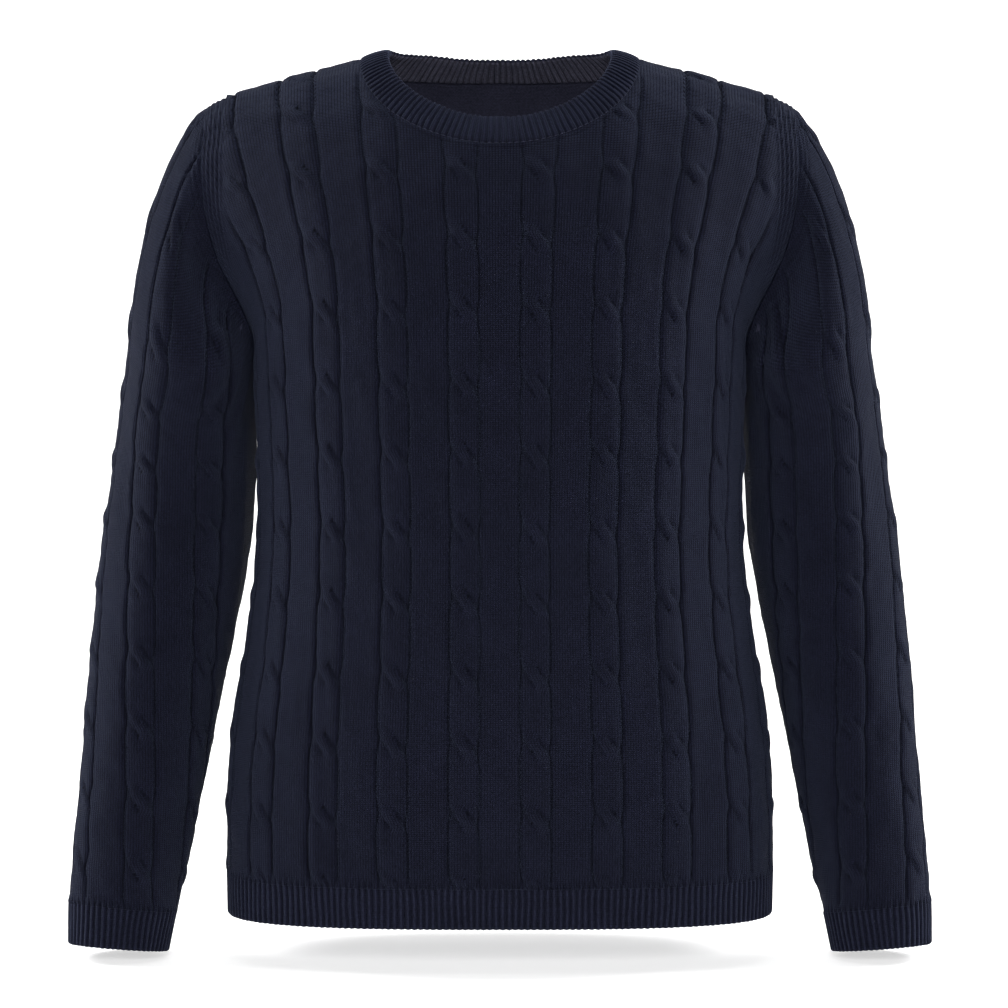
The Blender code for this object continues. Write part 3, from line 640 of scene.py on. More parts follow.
# Yarn
yarn = {
    "navy": (0.0054, 0.0060, 0.0168),
    "inside": (0.0440, 0.0440, 0.0740),      # the purl side, painted lighter than the navy to stand in for light inside the garment
    # the inside of hems, cuffs and neckband, painted lighter still to stand in for light reaching
    # it
    "innerRibLit": (0.1000, 0.0960, 0.1350),
    "shade": (0.0006, 0.0007, 0.0020),       # deep between the stitches
    "fibre": (0.034, 0.038, 0.066),          # where single fibres catch the light
    "fleck": (0.16, 0.17, 0.20),
    "wale": 0.00207,                         # width of a stitch
    "course": 0.00150,                       # height of a stitch
    "roughness": 0.90,
    "specular": 0.06,
    "sheen": 0.10,
    "sheenRoughness": 0.38,
    "sheenTint": (0.45, 0.55, 0.90, 1.0),
    "fuzzSize": 1900.0,                      # fibres to the metre
    "fuzzStrength": 0.5,
    "fuzzDepth": 0.00025,
    "fuzzLight": (0.5, 0.1),                 # light caught high on a stitch, and low between two
    "crossLight": (0.20, 0.26),              # and on the front strand of a crossing
    "grainSize": 620.0,                      # uneven yarn, a stitch or two long
    "grain": 0.8,
    "patchSize": 34.0,                       # slow changes of tone
    "patch": (0.6, 0.7),
    "wobbleSize": 260.0,                     # stitches that stray from their column
    "wobble": 0.5,
    "fleckSize": 110.0,                      # single pale fibres, one in seven of these cells
    "fleckFrom": 0.86,
    "fleckHalf": 0.034,
    "fleckShare": 0.35,
}
stitch = {
    "purlArc": 0.24,             # how far the bar of a purl stitch bends, in courses
    "purlHeight": (0.85, 0.1),
    "gapSharp": 3.2,             # narrowness of the gap between two columns
    "columnStray": 0.3,
    "slant": -0.45,              # how far a leg rises towards the edge of its column
    "split": 0.20,               # depth of the gap between the two legs, and its narrowness
    "splitSharp": 5.0,
    "legHeight": (0.95, 0.05),
}


def yarnMaterial(name, pattern, colour, stitchDepth, shadeShare):
    material = bpy.data.materials.new(name)
    material.use_nodes = True
    nodes, links = material.node_tree.nodes, material.node_tree.links
    shader = nodes["Principled BSDF"]

    def calc(operation, *values):
        node = nodes.new("ShaderNodeMath")
        node.operation = operation
        for socket, value in zip(node.inputs, values):
            if isinstance(value, (int, float)):
                socket.default_value = value
            else:
                links.new(value, socket)
        return node.outputs[0]

    def blend(share, first, second):
        node = nodes.new("ShaderNodeMix")
        node.data_type = "RGBA"
        for index, value in ((0, share), (6, first), (7, second)):
            socket = node.inputs[index]
            if isinstance(value, tuple):
                socket.default_value = (*value[:3], 1.0)
            else:
                links.new(value, socket)
        return node.outputs[2]

    def noise(scale, detail, roughness=0.6):
        node = nodes.new("ShaderNodeTexNoise")
        node.inputs["Scale"].default_value = scale
        node.inputs["Detail"].default_value = detail
        node.inputs["Roughness"].default_value = roughness
        links.new(place.outputs["Object"], node.inputs["Vector"])
        return node.outputs["Fac"]

    def ridge(value, power):
        # 1 in the middle of each unit of the value, 0 at its ends
        off = calc("ABSOLUTE", calc("MULTIPLY_ADD", calc("FRACT", value), 2.0, -1.0))
        return off, calc("SUBTRACT", 1.0, calc("POWER", off, power))

    place = nodes.new("ShaderNodeTexCoord")
    stitches = nodes.new("ShaderNodeUVMap")
    stitches.uv_map = "stitches"
    parted = nodes.new("ShaderNodeSeparateXYZ")
    links.new(stitches.outputs["UV"], parted.inputs[0])
    u, v = parted.outputs[0], parted.outputs[1]
    fuzz = noise(yarn["fuzzSize"], 4.0, 0.7)
    grain = noise(yarn["grainSize"], 2.0)
    patch = noise(yarn["patchSize"], 3.0)
    wobble = yarn["wobble"]
    wobble = calc("MULTIPLY_ADD", noise(yarn["wobbleSize"], 2.0), wobble, -wobble / 2)

    # height of the yarn within a stitch, 0 to 1: the two slanting legs of a knit stitch, with a gap
    # between the columns and a smaller one between the legs, or the round bar of a purl stitch
    if pattern == "purl":
        arc = calc("MULTIPLY", calc("COSINE", calc("MULTIPLY", u, 2 * math.pi)), stitch["purlArc"])
        _, bar = ridge(calc("ADD", calc("ADD", v, arc), wobble), 2.0)
        height = calc("MULTIPLY_ADD", bar, *stitch["purlHeight"])
    else:
        stray = calc("MULTIPLY_ADD", wobble, stitch["columnStray"], 0.5)
        middle, gap = ridge(calc("ADD", u, stray), stitch["gapSharp"])
        slant = calc("MULTIPLY", middle, stitch["slant"])
        _, leg = ridge(calc("ADD", calc("ADD", v, slant), wobble), 2.0)
        aside = calc("MINIMUM", calc("MULTIPLY", middle, stitch["splitSharp"]), 1.0)
        split = calc("POWER", calc("SUBTRACT", 1.0, aside), 2.0)
        column = calc("SUBTRACT", gap, calc("MULTIPLY", split, stitch["split"]))
        column = calc("MAXIMUM", column, 0.0)
        height = calc("MULTIPLY", calc("MULTIPLY_ADD", leg, *stitch["legHeight"]), column)

    # painted shade: the furrow field darkens the yarn where it is above 0 and paints a highlight
    # where it is below 0, and the yarn is painted darker between the stitches
    field = nodes.new("ShaderNodeAttribute")
    field.attribute_name = "furrow"
    dark = calc("MAXIMUM", field.outputs["Fac"], 0.0)
    light = calc("MAXIMUM", calc("MULTIPLY", field.outputs["Fac"], -1.0), 0.0)
    low = calc("MULTIPLY", calc("SUBTRACT", 1.0, height), shadeShare)
    mixed = blend(calc("MAXIMUM", low, dark), yarn[colour], yarn["shade"])
    # painted highlight: loose fibres lighter high on a stitch, and a lighter front strand at a
    # crossing
    fuzzLight = calc("MULTIPLY_ADD", height, *yarn["fuzzLight"])
    caught = calc("MULTIPLY", calc("MULTIPLY", fuzz, fuzz), fuzzLight)
    crossLight = calc("MULTIPLY", light, calc("MULTIPLY_ADD", height, *yarn["crossLight"]))
    caught = calc("ADD", caught, crossLight)
    mixed = blend(calc("MULTIPLY", caught, calc("SUBTRACT", 1.0, dark)), mixed, yarn["fibre"])
    toned = nodes.new("ShaderNodeVectorMath")
    toned.operation = "SCALE"
    links.new(mixed, toned.inputs[0])
    uneven = calc("MULTIPLY_ADD", grain, 2 * yarn["grain"], 1.0 - yarn["grain"])
    uneven = calc("MAXIMUM", uneven, 0.0)
    tone = calc("MULTIPLY", calc("MULTIPLY_ADD", patch, *yarn["patch"]), uneven)
    links.new(tone, toned.inputs[3])
    cells = nodes.new("ShaderNodeTexVoronoi")
    cells.inputs["Scale"].default_value = yarn["fleckSize"]
    links.new(place.outputs["Object"], cells.inputs["Vector"])
    picked = nodes.new("ShaderNodeSeparateColor")
    links.new(cells.outputs["Color"], picked.inputs[0])
    chosen = calc("MULTIPLY", calc("GREATER_THAN", picked.outputs[0], yarn["fleckFrom"]),
                  calc("LESS_THAN", cells.outputs["Distance"], yarn["fleckHalf"]))
    share = calc("MULTIPLY", chosen, yarn["fleckShare"])
    flecked = blend(share, toned.outputs[0], yarn["fleck"])
    links.new(flecked, shader.inputs["Base Color"])
    shader.inputs["Roughness"].default_value = yarn["roughness"]
    shader.inputs["Specular IOR Level"].default_value = yarn["specular"]
    shader.inputs["Sheen Weight"].default_value = yarn["sheen"]
    shader.inputs["Sheen Roughness"].default_value = yarn["sheenRoughness"]
    shader.inputs["Sheen Tint"].default_value = yarn["sheenTint"]
    stitchBump = nodes.new("ShaderNodeBump")
    stitchBump.inputs["Strength"].default_value = 1.0
    stitchBump.inputs["Distance"].default_value = stitchDepth
    links.new(height, stitchBump.inputs["Height"])
    fuzzBump = nodes.new("ShaderNodeBump")
    fuzzBump.inputs["Strength"].default_value = yarn["fuzzStrength"]
    fuzzBump.inputs["Distance"].default_value = yarn["fuzzDepth"]
    links.new(fuzz, fuzzBump.inputs["Height"])
    links.new(stitchBump.outputs["Normal"], fuzzBump.inputs["Normal"])
    links.new(fuzzBump.outputs["Normal"], shader.inputs["Normal"])
    return material


# name, stitch, colour, depth of a stitch, how deep the painted shade is between the stitches
knitYarn = yarnMaterial("knit_yarn", "knit", "navy", 0.00070, 1.0)
# the purl yarn is painted lighter than the navy, to stand in for light inside the garment
litPurlYarn = yarnMaterial("lit_purl_yarn", "purl", "inside", 0.00060, 0.85)
ribYarn = yarnMaterial("rib_yarn", "rib", "navy", 0.00050, 0.70)
# the inside of the ribs, painted lighter to stand in for light
innerRibLitYarn = yarnMaterial("inner_rib_lit_yarn", "rib", "innerRibLit", 0.00050, 0.70)
print("yarns made")

# Ribs that the knit of a panel or sleeve runs into at its lower edge
ribRun = {
    "rise": 0.0012,
    "reach": 0.0085,
    "dark": 0.85,                # shade in a furrow, and its narrowness
    "narrow": 1.5,
    "rows": (0.0007, 0.0016, 0.0028, 0.0044, 0.0064),
}
seam = {
    "dip": 0.0005,               # how far a seam draws the knit in
    "dipWidth": 0.0022,
    "dipFade": 0.006,            # it runs out towards the ribs
    # painted shade along the seam where it draws the knit in
    "dark": 0.25,
}
hem = {"pitch": 0.0049, "thickness": 0.0030}
cuff = {"pitch": 0.0046, "thickness": 0.0030}


def even(number):
    return 2 * round(number / 2)


def ribHeight(t):
    # a round knit column with a narrow purl furrow on each side
    off = np.abs(2 * (t - np.floor(t)) - 1)
    return 1 - off ** 2.0


def ribShade(height):
    return ribRun["dark"] * (1 - height) ** ribRun["narrow"]


def ribRows(edge, ribs, heights):
    # four points to a rib, in a row at each height
    across = np.linspace(-edge, edge, 4 * ribs + 1)[1:-1]
    return [(x, height) for height in heights for x in across]


def rimLook(atRibs, t, rise, dark, knit):
    # how far the outline of a piece stands proud, and how much painted shade it has, with its ribs
    # at one edge
    height = ribHeight(t)
    return {"rimRise": np.where(atRibs, ribRun["rise"] * height, rise),
            "rimDark": np.where(atRibs, ribShade(height), dark), "rimKnit": knit}


def seamDip(fromSeam, above):
    dip = seam["dip"] * np.exp(-(fromSeam / seam["dipWidth"]) ** 2)
    return dip * smoothStep(above / seam["dipFade"])


def intoRibs(relief, furrow, t, above):
    reach = smoothStep(1 - above / ribRun["reach"])
    height = ribHeight(t)
    relief = relief * (1 - reach) + ribRun["rise"] * height * reach
    return relief, np.maximum(furrow * (1 - reach), ribShade(height) * reach)


# Front and back panel
panel = {
    "crossing": -0.590,          # height of one row of crossings
    "columns": (-5, 4),          # cables, in pitches
    "alongColumns": 41,          # columns up which the cloth is measured
    "seed": 7,
    "band": 0.016,               # beside the armhole there are no cables
    "bandFade": 0.008,
    "outerCable": (3.5, -0.006, 0.004, 0.006),   # which one runs on to the armhole, and how closely
    "seamFade": 0.0045,
    "nearArms": 0.03,            # how far below the underarm the armhole is still felt
    "fashionRibs": 0.0034,       # narrow ribs beside the armhole
    "fashionFrom": 0.0012,
    "fashionRise": 0.00050,
    # painted shade in the furrows of these ribs, and how it follows them
    "fashionDark": 0.60,
    "fashionShade": (-1.5, -0.4),
    "fashionReach": 0.0175,
    "fashionFade": 0.004,
    "fashionUp": (0.02, 0.08),   # they start this far above the underarm, over this height
    "fashionStep": 0.00085,
    "neckReach": 0.02,
    "neckRidge": (0.0004, 0.0024, 0.0014),    # linked edge under the neckband: height, place, width
    "neckGroove": (0.0004, 0.0034, 0.0010),
    # painted shade in the groove of the linked edge
    "neckDark": 0.50,
    "neckRim": (0.0002, 0.1),    # rise and shade of the panel's edge under the neckband
    "neckRows": (0.0008, 0.0016, 0.0024, 0.0032, 0.0042, 0.0052, 0.0064),
    "dipClear": (0.004, 0.003),
    "stitchLine": 0.0045,        # length of one stitch of the seam under the neckband
    # painted shade along that groove, stronger and weaker stitch by stitch
    "stitchDark": (0.65, 0.35),
    # across, height, angle, length, width, depth: the front's soft folds, and the back's
    "frontFolds": [
        (0.236, -0.262, 152, 0.075, 0.0080, 0.0018), (-0.236, -0.258, 28, 0.080, 0.0080, 0.0018),
        (0.250, -0.300, 118, 0.070, 0.0075, 0.0014), (-0.250, -0.305, 64, 0.070, 0.0075, 0.0014),
        (0.205, -0.180, 112, 0.090, 0.0100, 0.0013), (-0.207, -0.184, 68, 0.090, 0.0100, 0.0013),
        (0.160, -0.560, 82, 0.150, 0.0170, 0.0022), (-0.135, -0.570, 97, 0.160, 0.0180, 0.0020),
        (-0.220, -0.540, 86, 0.140, 0.0150, 0.0020), (0.232, -0.545, 94, 0.140, 0.0150, 0.0018),
        (0.035, -0.590, 91, 0.110, 0.0180, 0.0014), (-0.045, -0.560, 88, 0.130, 0.0190, 0.0012),
    ],
    "backFolds": [
        (0.232, -0.258, 148, 0.085, 0.0085, 0.0022), (-0.232, -0.262, 32, 0.085, 0.0085, 0.0022),
        (0.246, -0.305, 122, 0.075, 0.0080, 0.0016), (-0.248, -0.300, 58, 0.075, 0.0080, 0.0016),
        (0.060, -0.470, 172, 0.150, 0.0160, 0.0022), (-0.075, -0.505, 9, 0.160, 0.0170, 0.0024),
        (0.120, -0.555, 84, 0.150, 0.0170, 0.0020), (-0.165, -0.550, 95, 0.150, 0.0170, 0.0020),
        (0.000, -0.570, 90, 0.140, 0.0200, 0.0014), (0.225, -0.555, 92, 0.130, 0.0150, 0.0018),
        (0.090, -0.120, 118, 0.110, 0.0140, 0.0014), (-0.095, -0.125, 62, 0.110, 0.0140, 0.0014),
    ],
}


def panelAlong(form):
    # distance up the cloth for any flat point, from columns measured on the form
    across = np.linspace(-bodyCut["halfPanel"], bodyCut["halfPanel"], panel["alongColumns"])
    levels = np.linspace(bodyCut["hemSeam"], shoulderSeam, curveSteps)
    runs = np.stack([levels[0] + runLength(form(np.full(curveSteps, x), levels)) for x in across])

    def along(flat):
        i = np.clip(np.searchsorted(across, flat[:, 0]) - 1, 0, len(across) - 2)
        u = (flat[:, 0] - across[i]) / (across[1] - across[0])
        k = np.clip((flat[:, 1] - levels[0]) / (levels[1] - levels[0]), 0, curveSteps - 1.001)
        j = k.astype(int)
        w = k - j
        first = runs[i, j] * (1 - w) + runs[i, j + 1] * w
        second = runs[i + 1, j] * (1 - w) + runs[i + 1, j + 1] * w
        return first * (1 - u) + second * u
    return along


def hump(at, height, middle, width):
    return height * np.exp(-((at - middle) / width) ** 2)


def panelRelief(side, flat, cableAt, alongOf, fromSeam, cut, necks):
    centre, u, v = cableAt(flat)
    relief, furrow, slide = cableRelief(u, v, -side)
    mirrored = np.stack([np.abs(flat[:, 0]), flat[:, 1]], -1)
    near = mirrored[:, 1] > underarm - panel["nearArms"]
    fromArmhole = np.full(len(flat), 1.0)
    fromArmhole[near] = distanceTo(mirrored[near], cut)
    gate = smoothStep((fromArmhole - panel["band"]) / panel["bandFade"])
    column, limit, clear, fade = panel["outerCable"]
    kept = np.abs(np.abs(centre) - column * cable["pitch"]) < 0.001
    kept = kept & (u * np.sign(centre) < limit)
    gate = np.where(kept, smoothStep((fromArmhole - clear) / fade), gate)
    gate = gate * smoothStep(fromSeam / panel["seamFade"])
    relief, furrow, slide = relief * gate, furrow * gate, slide * gate

    ribs = np.cos(2 * math.pi * (fromArmhole - panel["fashionFrom"]) / panel["fashionRibs"])
    reach = smoothStep((panel["fashionReach"] - fromArmhole) / panel["fashionFade"])
    start, run = panel["fashionUp"]
    reach = reach * (mirrored[:, 1] > underarm) * smoothStep((flat[:, 1] - underarm - start) / run)
    relief = relief + panel["fashionRise"] * ribs * reach
    # painted shade in the furrows of the fashioning ribs
    slope, base = panel["fashionShade"]
    shade = panel["fashionDark"] * smoothStep(ribs * slope + base)
    furrow = np.maximum(furrow, shade * reach)

    fromNeck, step = np.full(len(flat), 1.0), np.zeros(len(flat))
    upper = flat[:, 1] > shoulderSeam - bodyCut["neckDrop"][side] - panel["neckReach"]
    fromNeck[upper], step[upper] = nearest(flat[upper], necks)
    relief += hump(fromNeck, *panel["neckRidge"])
    relief -= hump(fromNeck, *panel["neckGroove"])
    # painted shade in the groove under the neckband, in dashes one stitch long
    base, swing = panel["stitchDark"]
    dashes = base + swing * np.sin(2 * math.pi * step * grid["trace"] / panel["stitchLine"])
    groove = hump(fromNeck, 1.0, *panel["neckGroove"][1:])
    furrow = np.maximum(furrow, panel["neckDark"] * groove * dashes)

    above = flat[:, 1] - bodyCut["hemSeam"]
    clear, fade = panel["dipClear"]
    relief -= seamDip(fromSeam, above) * smoothStep((fromNeck - clear) / fade)
    relief, furrow = intoRibs(relief, furrow, hemPhase(flat[:, 0]), above)
    folds = panel["frontFolds"] if side < 0 else panel["backFolds"]
    relief += unevenness(flat, panel["seed"] + side) + creaseRelief(flat, folds)
    knit = np.stack([(flat[:, 0] - slide) / yarn["wale"], alongOf(flat) / yarn["course"]], -1)
    return relief, furrow, knit


hemRibs = even(2 * bodyCut["halfPanel"] / hem["pitch"])


def hemPhase(across):
    edge = bodyCut["halfPanel"] - seamGap / 2
    return (across / edge + 1) / 2 * hemRibs


def bodyPanel(name, node, side):
    form = bodyForm(side)
    halfGap = seamGap / 2
    low, top = bodyCut["hemSeam"] + halfGap, shoulderSeam - halfGap
    edge = bodyCut["halfPanel"] - halfGap
    step = grid["outline"]
    bottom = ribRows(edge, hemRibs, [low])
    sideSeam = [(edge, height) for height in spread(low, underarm, step)]
    heights = np.linspace(underarm, top, round(bodyCut["shoulderRun"] / step) + 1)
    armhole = [(min(float(armholeAcross(h)), edge), h) for h in heights]
    shoulder = [(x, top) for x in spread(armhole[-1][0], bodyCut["neckAcross"], step)[1:]]
    turns = np.linspace(math.pi / 2, -math.pi / 2, grid["neckSteps"][side])
    neck = neckline(side, turns) - np.array([0.0, halfGap])
    right = sideSeam + armhole + shoulder
    left = [(-x, height) for x, height in reversed(right)]
    outline = np.array(bottom + right + neck.tolist() + left)
    rimNormals = normalsOf(form, outline, -side)
    bodyNormals = seamNormals(side, heights[1:])[0]
    upwards = np.arange(len(bodyNormals))
    rimNormals[len(bottom) + len(sideSeam) + 1 + upwards] = bodyNormals
    rimNormals[len(outline) - len(sideSeam) - 2 - upwards] = bodyNormals * (-1.0, 1.0, 1.0)

    alongOf = panelAlong(form)
    pitch = cable["pitch"]

    def cableAt(flat):
        column = np.clip(np.round(flat[:, 0] / pitch - 0.5), *panel["columns"])
        centre = column * pitch + pitch / 2
        return cableNear(flat, centre, alongOf(flat) - panel["crossing"], centre / pitch)

    armLineFlat = np.stack([armholeAcross(heights), heights], -1)
    cut = traced(armLineFlat)
    necks = traced(neckline(side, np.linspace(-math.pi / 2, math.pi / 2, 300)))
    first, last = panel["columns"]
    centres = (np.arange(first - 1, last + 1) + 0.5) * pitch
    base = knitLattice(outline, centres, cableAt, -side)
    away = distanceTo(np.stack([np.abs(base[:, 0]), base[:, 1]], -1), cut)
    base = base[(away > panel["fashionReach"] + grid["beside"]) | (base[:, 1] < underarm)]
    base = base[(distanceTo(base, necks) > panel["neckRows"][-1] + grid["rowClear"])
                & (base[:, 1] > bodyCut["hemSeam"] + ribRun["rows"][-1] + grid["rowClear"])]
    offsets = np.arange(grid["rowClear"], panel["fashionReach"], panel["fashionStep"])
    beside = strip(armLineFlat, offsets, grid["seamRow"], 1)
    around = strip(necks, np.array(panel["neckRows"]), grid["neckRow"], -1)
    above = np.array(ribRows(edge, hemRibs, [low + offset for offset in ribRun["rows"]]))
    points, fromSeam = settled(outline, [base, beside, beside * (-1, 1), around, above])
    relief, furrow, knit = panelRelief(side, points, cableAt, alongOf, fromSeam, cut, necks)
    innerPoints = innerLattice(outline)
    scale = np.array([yarn["wale"], yarn["course"]])
    innerKnit = np.stack([innerPoints[:, 0], alongOf(innerPoints)], -1) / scale
    atNeck = distanceTo(outline, necks) < 0.001
    rise, dark = panel["neckRim"]
    look = rimLook(outline[:, 1] < low + sameLine, hemPhase(outline[:, 0]),
                   np.where(atNeck, rise, -seam["dip"]), np.where(atNeck, dark, seam["dark"]),
                   np.stack([outline[:, 0], alongOf(outline)], -1) / scale)
    return clothWall(name, node, form, -side, outline, rimNormals,
                     (points, relief, furrow, knit), (innerPoints, innerKnit), look)


frontPanel = bodyPanel("front_knit", "front_panel", -1)
backPanel = bodyPanel("back_knit", "back_panel", 1)

# Sleeves
sleeve = {
    "crossing": -0.1480,
    "seed": 21,
    "columns": (-3, 2),          # cables, in pitches
    "shift": {1: 0.019, -1: 0.012},    # and this far to the front of the sleeve's outer line
    "seamFade": 0.0060,
    "fashionRise": 0.0004,       # slanting stitches where the cap is shaped
    # painted shade in the furrows of these slanting stitches
    "fashionDark": 0.5,
    "fashionShade": (-1.5, -0.5),
    "fashionWay": (0.66, 0.75),  # across and along the sleeve
    "fashionReach": 0.012,
    "fashionFade": 0.005,
    "fashionUp": (0.004, 0.02),
    "fashionStep": 0.0011,
    "fashionPitch": 0.0036,
    # across, along, angle, length, width, depth: folds of the arm, the front ones at across over 0
    "folds": [
        (0.128, -0.016, 62, 0.060, 0.0058, 0.0030), (0.143, -0.034, 68, 0.058, 0.0055, 0.0028),
        (0.110, 0.006, 55, 0.060, 0.0062, 0.0022), (0.156, -0.060, 76, 0.060, 0.0060, 0.0022),
        (-0.128, -0.020, 118, 0.062, 0.0060, 0.0030), (-0.145, -0.042, 110, 0.060, 0.0058, 0.0026),
        (-0.108, 0.004, 124, 0.060, 0.0065, 0.0022), (0.120, -0.205, 22, 0.075, 0.0085, 0.0022),
        (0.112, -0.232, 14, 0.080, 0.0085, 0.0024), (0.124, -0.262, 172, 0.070, 0.0085, 0.0018),
        (-0.104, -0.222, 164, 0.070, 0.0095, 0.0016), (-0.060, -0.300, 80, 0.110, 0.0130, 0.0016),
        (0.060, -0.360, 98, 0.100, 0.0120, 0.0014), (0.020, -0.410, 12, 0.060, 0.0090, 0.0014),
        (-0.030, -0.395, 170, 0.060, 0.0090, 0.0014), (0.045, -0.120, 96, 0.110, 0.0140, 0.0014),
    ],
}


cuffTop = alongAt(sleeveCut["cuffSeam"]) - seamGap / 2
cuffRibs = even(2 * float(halfRound(cuffTop)) / cuff["pitch"])


def sleeveRelief(side, flat, cableAt, fromSeam, fromCap, cuffPhase, above):
    _, u, v = cableAt(flat)
    relief, furrow, slide = cableRelief(u, v, -side)
    gate = smoothStep(fromSeam / sleeve["seamFade"])
    relief, furrow, slide = relief * gate, furrow * gate, slide * gate
    sideways, up = sleeve["fashionWay"]
    slanted = flat[:, 1] * up + np.abs(flat[:, 0]) * sideways
    slanted = np.cos(2 * math.pi * slanted / sleeve["fashionPitch"])
    start, run = sleeve["fashionUp"]
    reach = smoothStep((sleeve["fashionReach"] - fromCap) / sleeve["fashionFade"])
    reach = reach * smoothStep((flat[:, 1] - start) / run)
    relief = relief + sleeve["fashionRise"] * slanted * reach
    # painted shade in the furrows of the slanting stitches
    slope, base = sleeve["fashionShade"]
    shade = sleeve["fashionDark"] * smoothStep(slanted * slope + base)
    furrow = np.maximum(furrow, shade * reach)
    relief -= seamDip(fromSeam, above)
    relief, furrow = intoRibs(relief, furrow, cuffPhase, above)
    relief += unevenness(flat, sleeve["seed"] + side) + creaseRelief(flat, sleeve["folds"])
    knit = np.stack([(flat[:, 0] - slide) / yarn["wale"], flat[:, 1] / yarn["course"]], -1)
    return relief, furrow, knit


def sleevePiece(name, node, side):
    form = sleeveForm(side)
    halfGap = seamGap / 2
    step = grid["outline"]
    low = alongAt(sleeveCut["cuffSeam"]) + halfGap
    alongs = spread(low, 0.0, step)
    edge = halfRound(alongs) - halfGap
    bottom = ribRows(edge[0], cuffRibs, [low])
    right = list(zip(edge, alongs)) + [(capHalf - halfGap, 0.0)]
    left = [(-across, along) for across, along in reversed(right)]
    heights = np.linspace(underarm, shoulderSeam - halfGap,
                          round(bodyCut["shoulderRun"] / step) + 1)[1:]
    front, back = capAt(-1, heights)[0], capAt(1, heights)[0]
    cap = np.concatenate([front, back[::-1]])
    capPath = list(zip(cap, capEdge(cap)))
    outline = np.array(bottom + right + capPath + left)
    rimNormals = normalsOf(form, outline, -side)
    normals = np.concatenate([seamNormals(-1, heights)[1], seamNormals(1, heights)[1][::-1]])
    first = len(bottom) + len(right)
    rimNormals[first:first + len(cap)] = normals * np.array([side, 1.0, 1.0])
    corners = [first - 1, first + len(cap)]
    inset = np.array([0.0, sleeveCut["rimInset"]])
    rimNormals[corners] = normalsOf(form, outline[corners] - inset, -side)

    pitch, shift = cable["pitch"], sleeve["shift"][side]

    def cableAt(flat):
        column = np.clip(np.round((flat[:, 0] - shift) / pitch), *sleeve["columns"])
        up = flat[:, 1] - sleeve["crossing"]
        return cableNear(flat, column * pitch + shift, up, column + 0.3 * side)

    def cuffPhase(flat):
        return (flat[:, 0] / edge[0] + 1) / 2 * cuffRibs

    capLine = traced(np.array(capPath))
    first, last = sleeve["columns"]
    centres = np.arange(first - 1, last + 1) * pitch + shift
    base = knitLattice(outline, centres, cableAt, -side)
    base = base[(distanceTo(base, capLine) > sleeve["fashionReach"] + grid["beside"])
                & (base[:, 1] > low + ribRun["rows"][-1] + grid["rowClear"])]
    offsets = np.arange(grid["rowClear"], sleeve["fashionReach"], sleeve["fashionStep"])
    beside = strip(capLine, offsets, grid["capRow"], 1 if cap[0] > cap[-1] else -1)
    above = np.array(ribRows(edge[0], cuffRibs, [low + offset for offset in ribRun["rows"]]))
    points, fromSeam = settled(outline, [base, beside, above])
    relief, furrow, knit = sleeveRelief(side, points, cableAt, fromSeam,
                                        distanceTo(points, capLine), cuffPhase(points),
                                        points[:, 1] - low)
    innerPoints = innerLattice(outline)
    scale = np.array([yarn["wale"], yarn["course"]])
    look = rimLook(outline[:, 1] < low + sameLine, cuffPhase(outline),
                   -seam["dip"], seam["dark"], outline / scale)
    return clothWall(name, node, form, -side, outline, rimNormals,
                     (points, relief, furrow, knit), (innerPoints, innerPoints / scale), look)


leftPiece = sleevePiece("sleeve_left_knit", "sleeve_left", 1)
rightPiece = sleevePiece("sleeve_right_knit", "sleeve_right", -1)

# Ribs: hem, cuffs and neckband
rib = {
    "perRib": 8,                 # points across one rib
    "rows": 14,                  # rows up the outside, and the inside
    "foldSteps": 7,              # round the free edge
    "wander": 0.06,              # how far a rib strays sideways, as a share of its width
    "fold": (0.35, 0.3),         # ribs and furrows sink where the band turns over its free edge
    "waves": ((0.83, 2.1), (0.31, -3.4)),    # of the straying, per rib and from seam to edge
    "uneven": 0.12,              # some ribs stand prouder than others
    "unevenTurn": 1.7,
    "smoothAngle": 70.0,
    "seamSoft": 0.0014,          # near its seam a rib is only half as proud
    "seamDark": (0.12, 0.0008),  # shade at the neckband's seam, and how far it reaches
    # painted shade in a rib's furrows, and its narrowness, and a painted highlight on each crest
    "furrowNarrow": 1.3,
    "crestLight": 0.45,
}


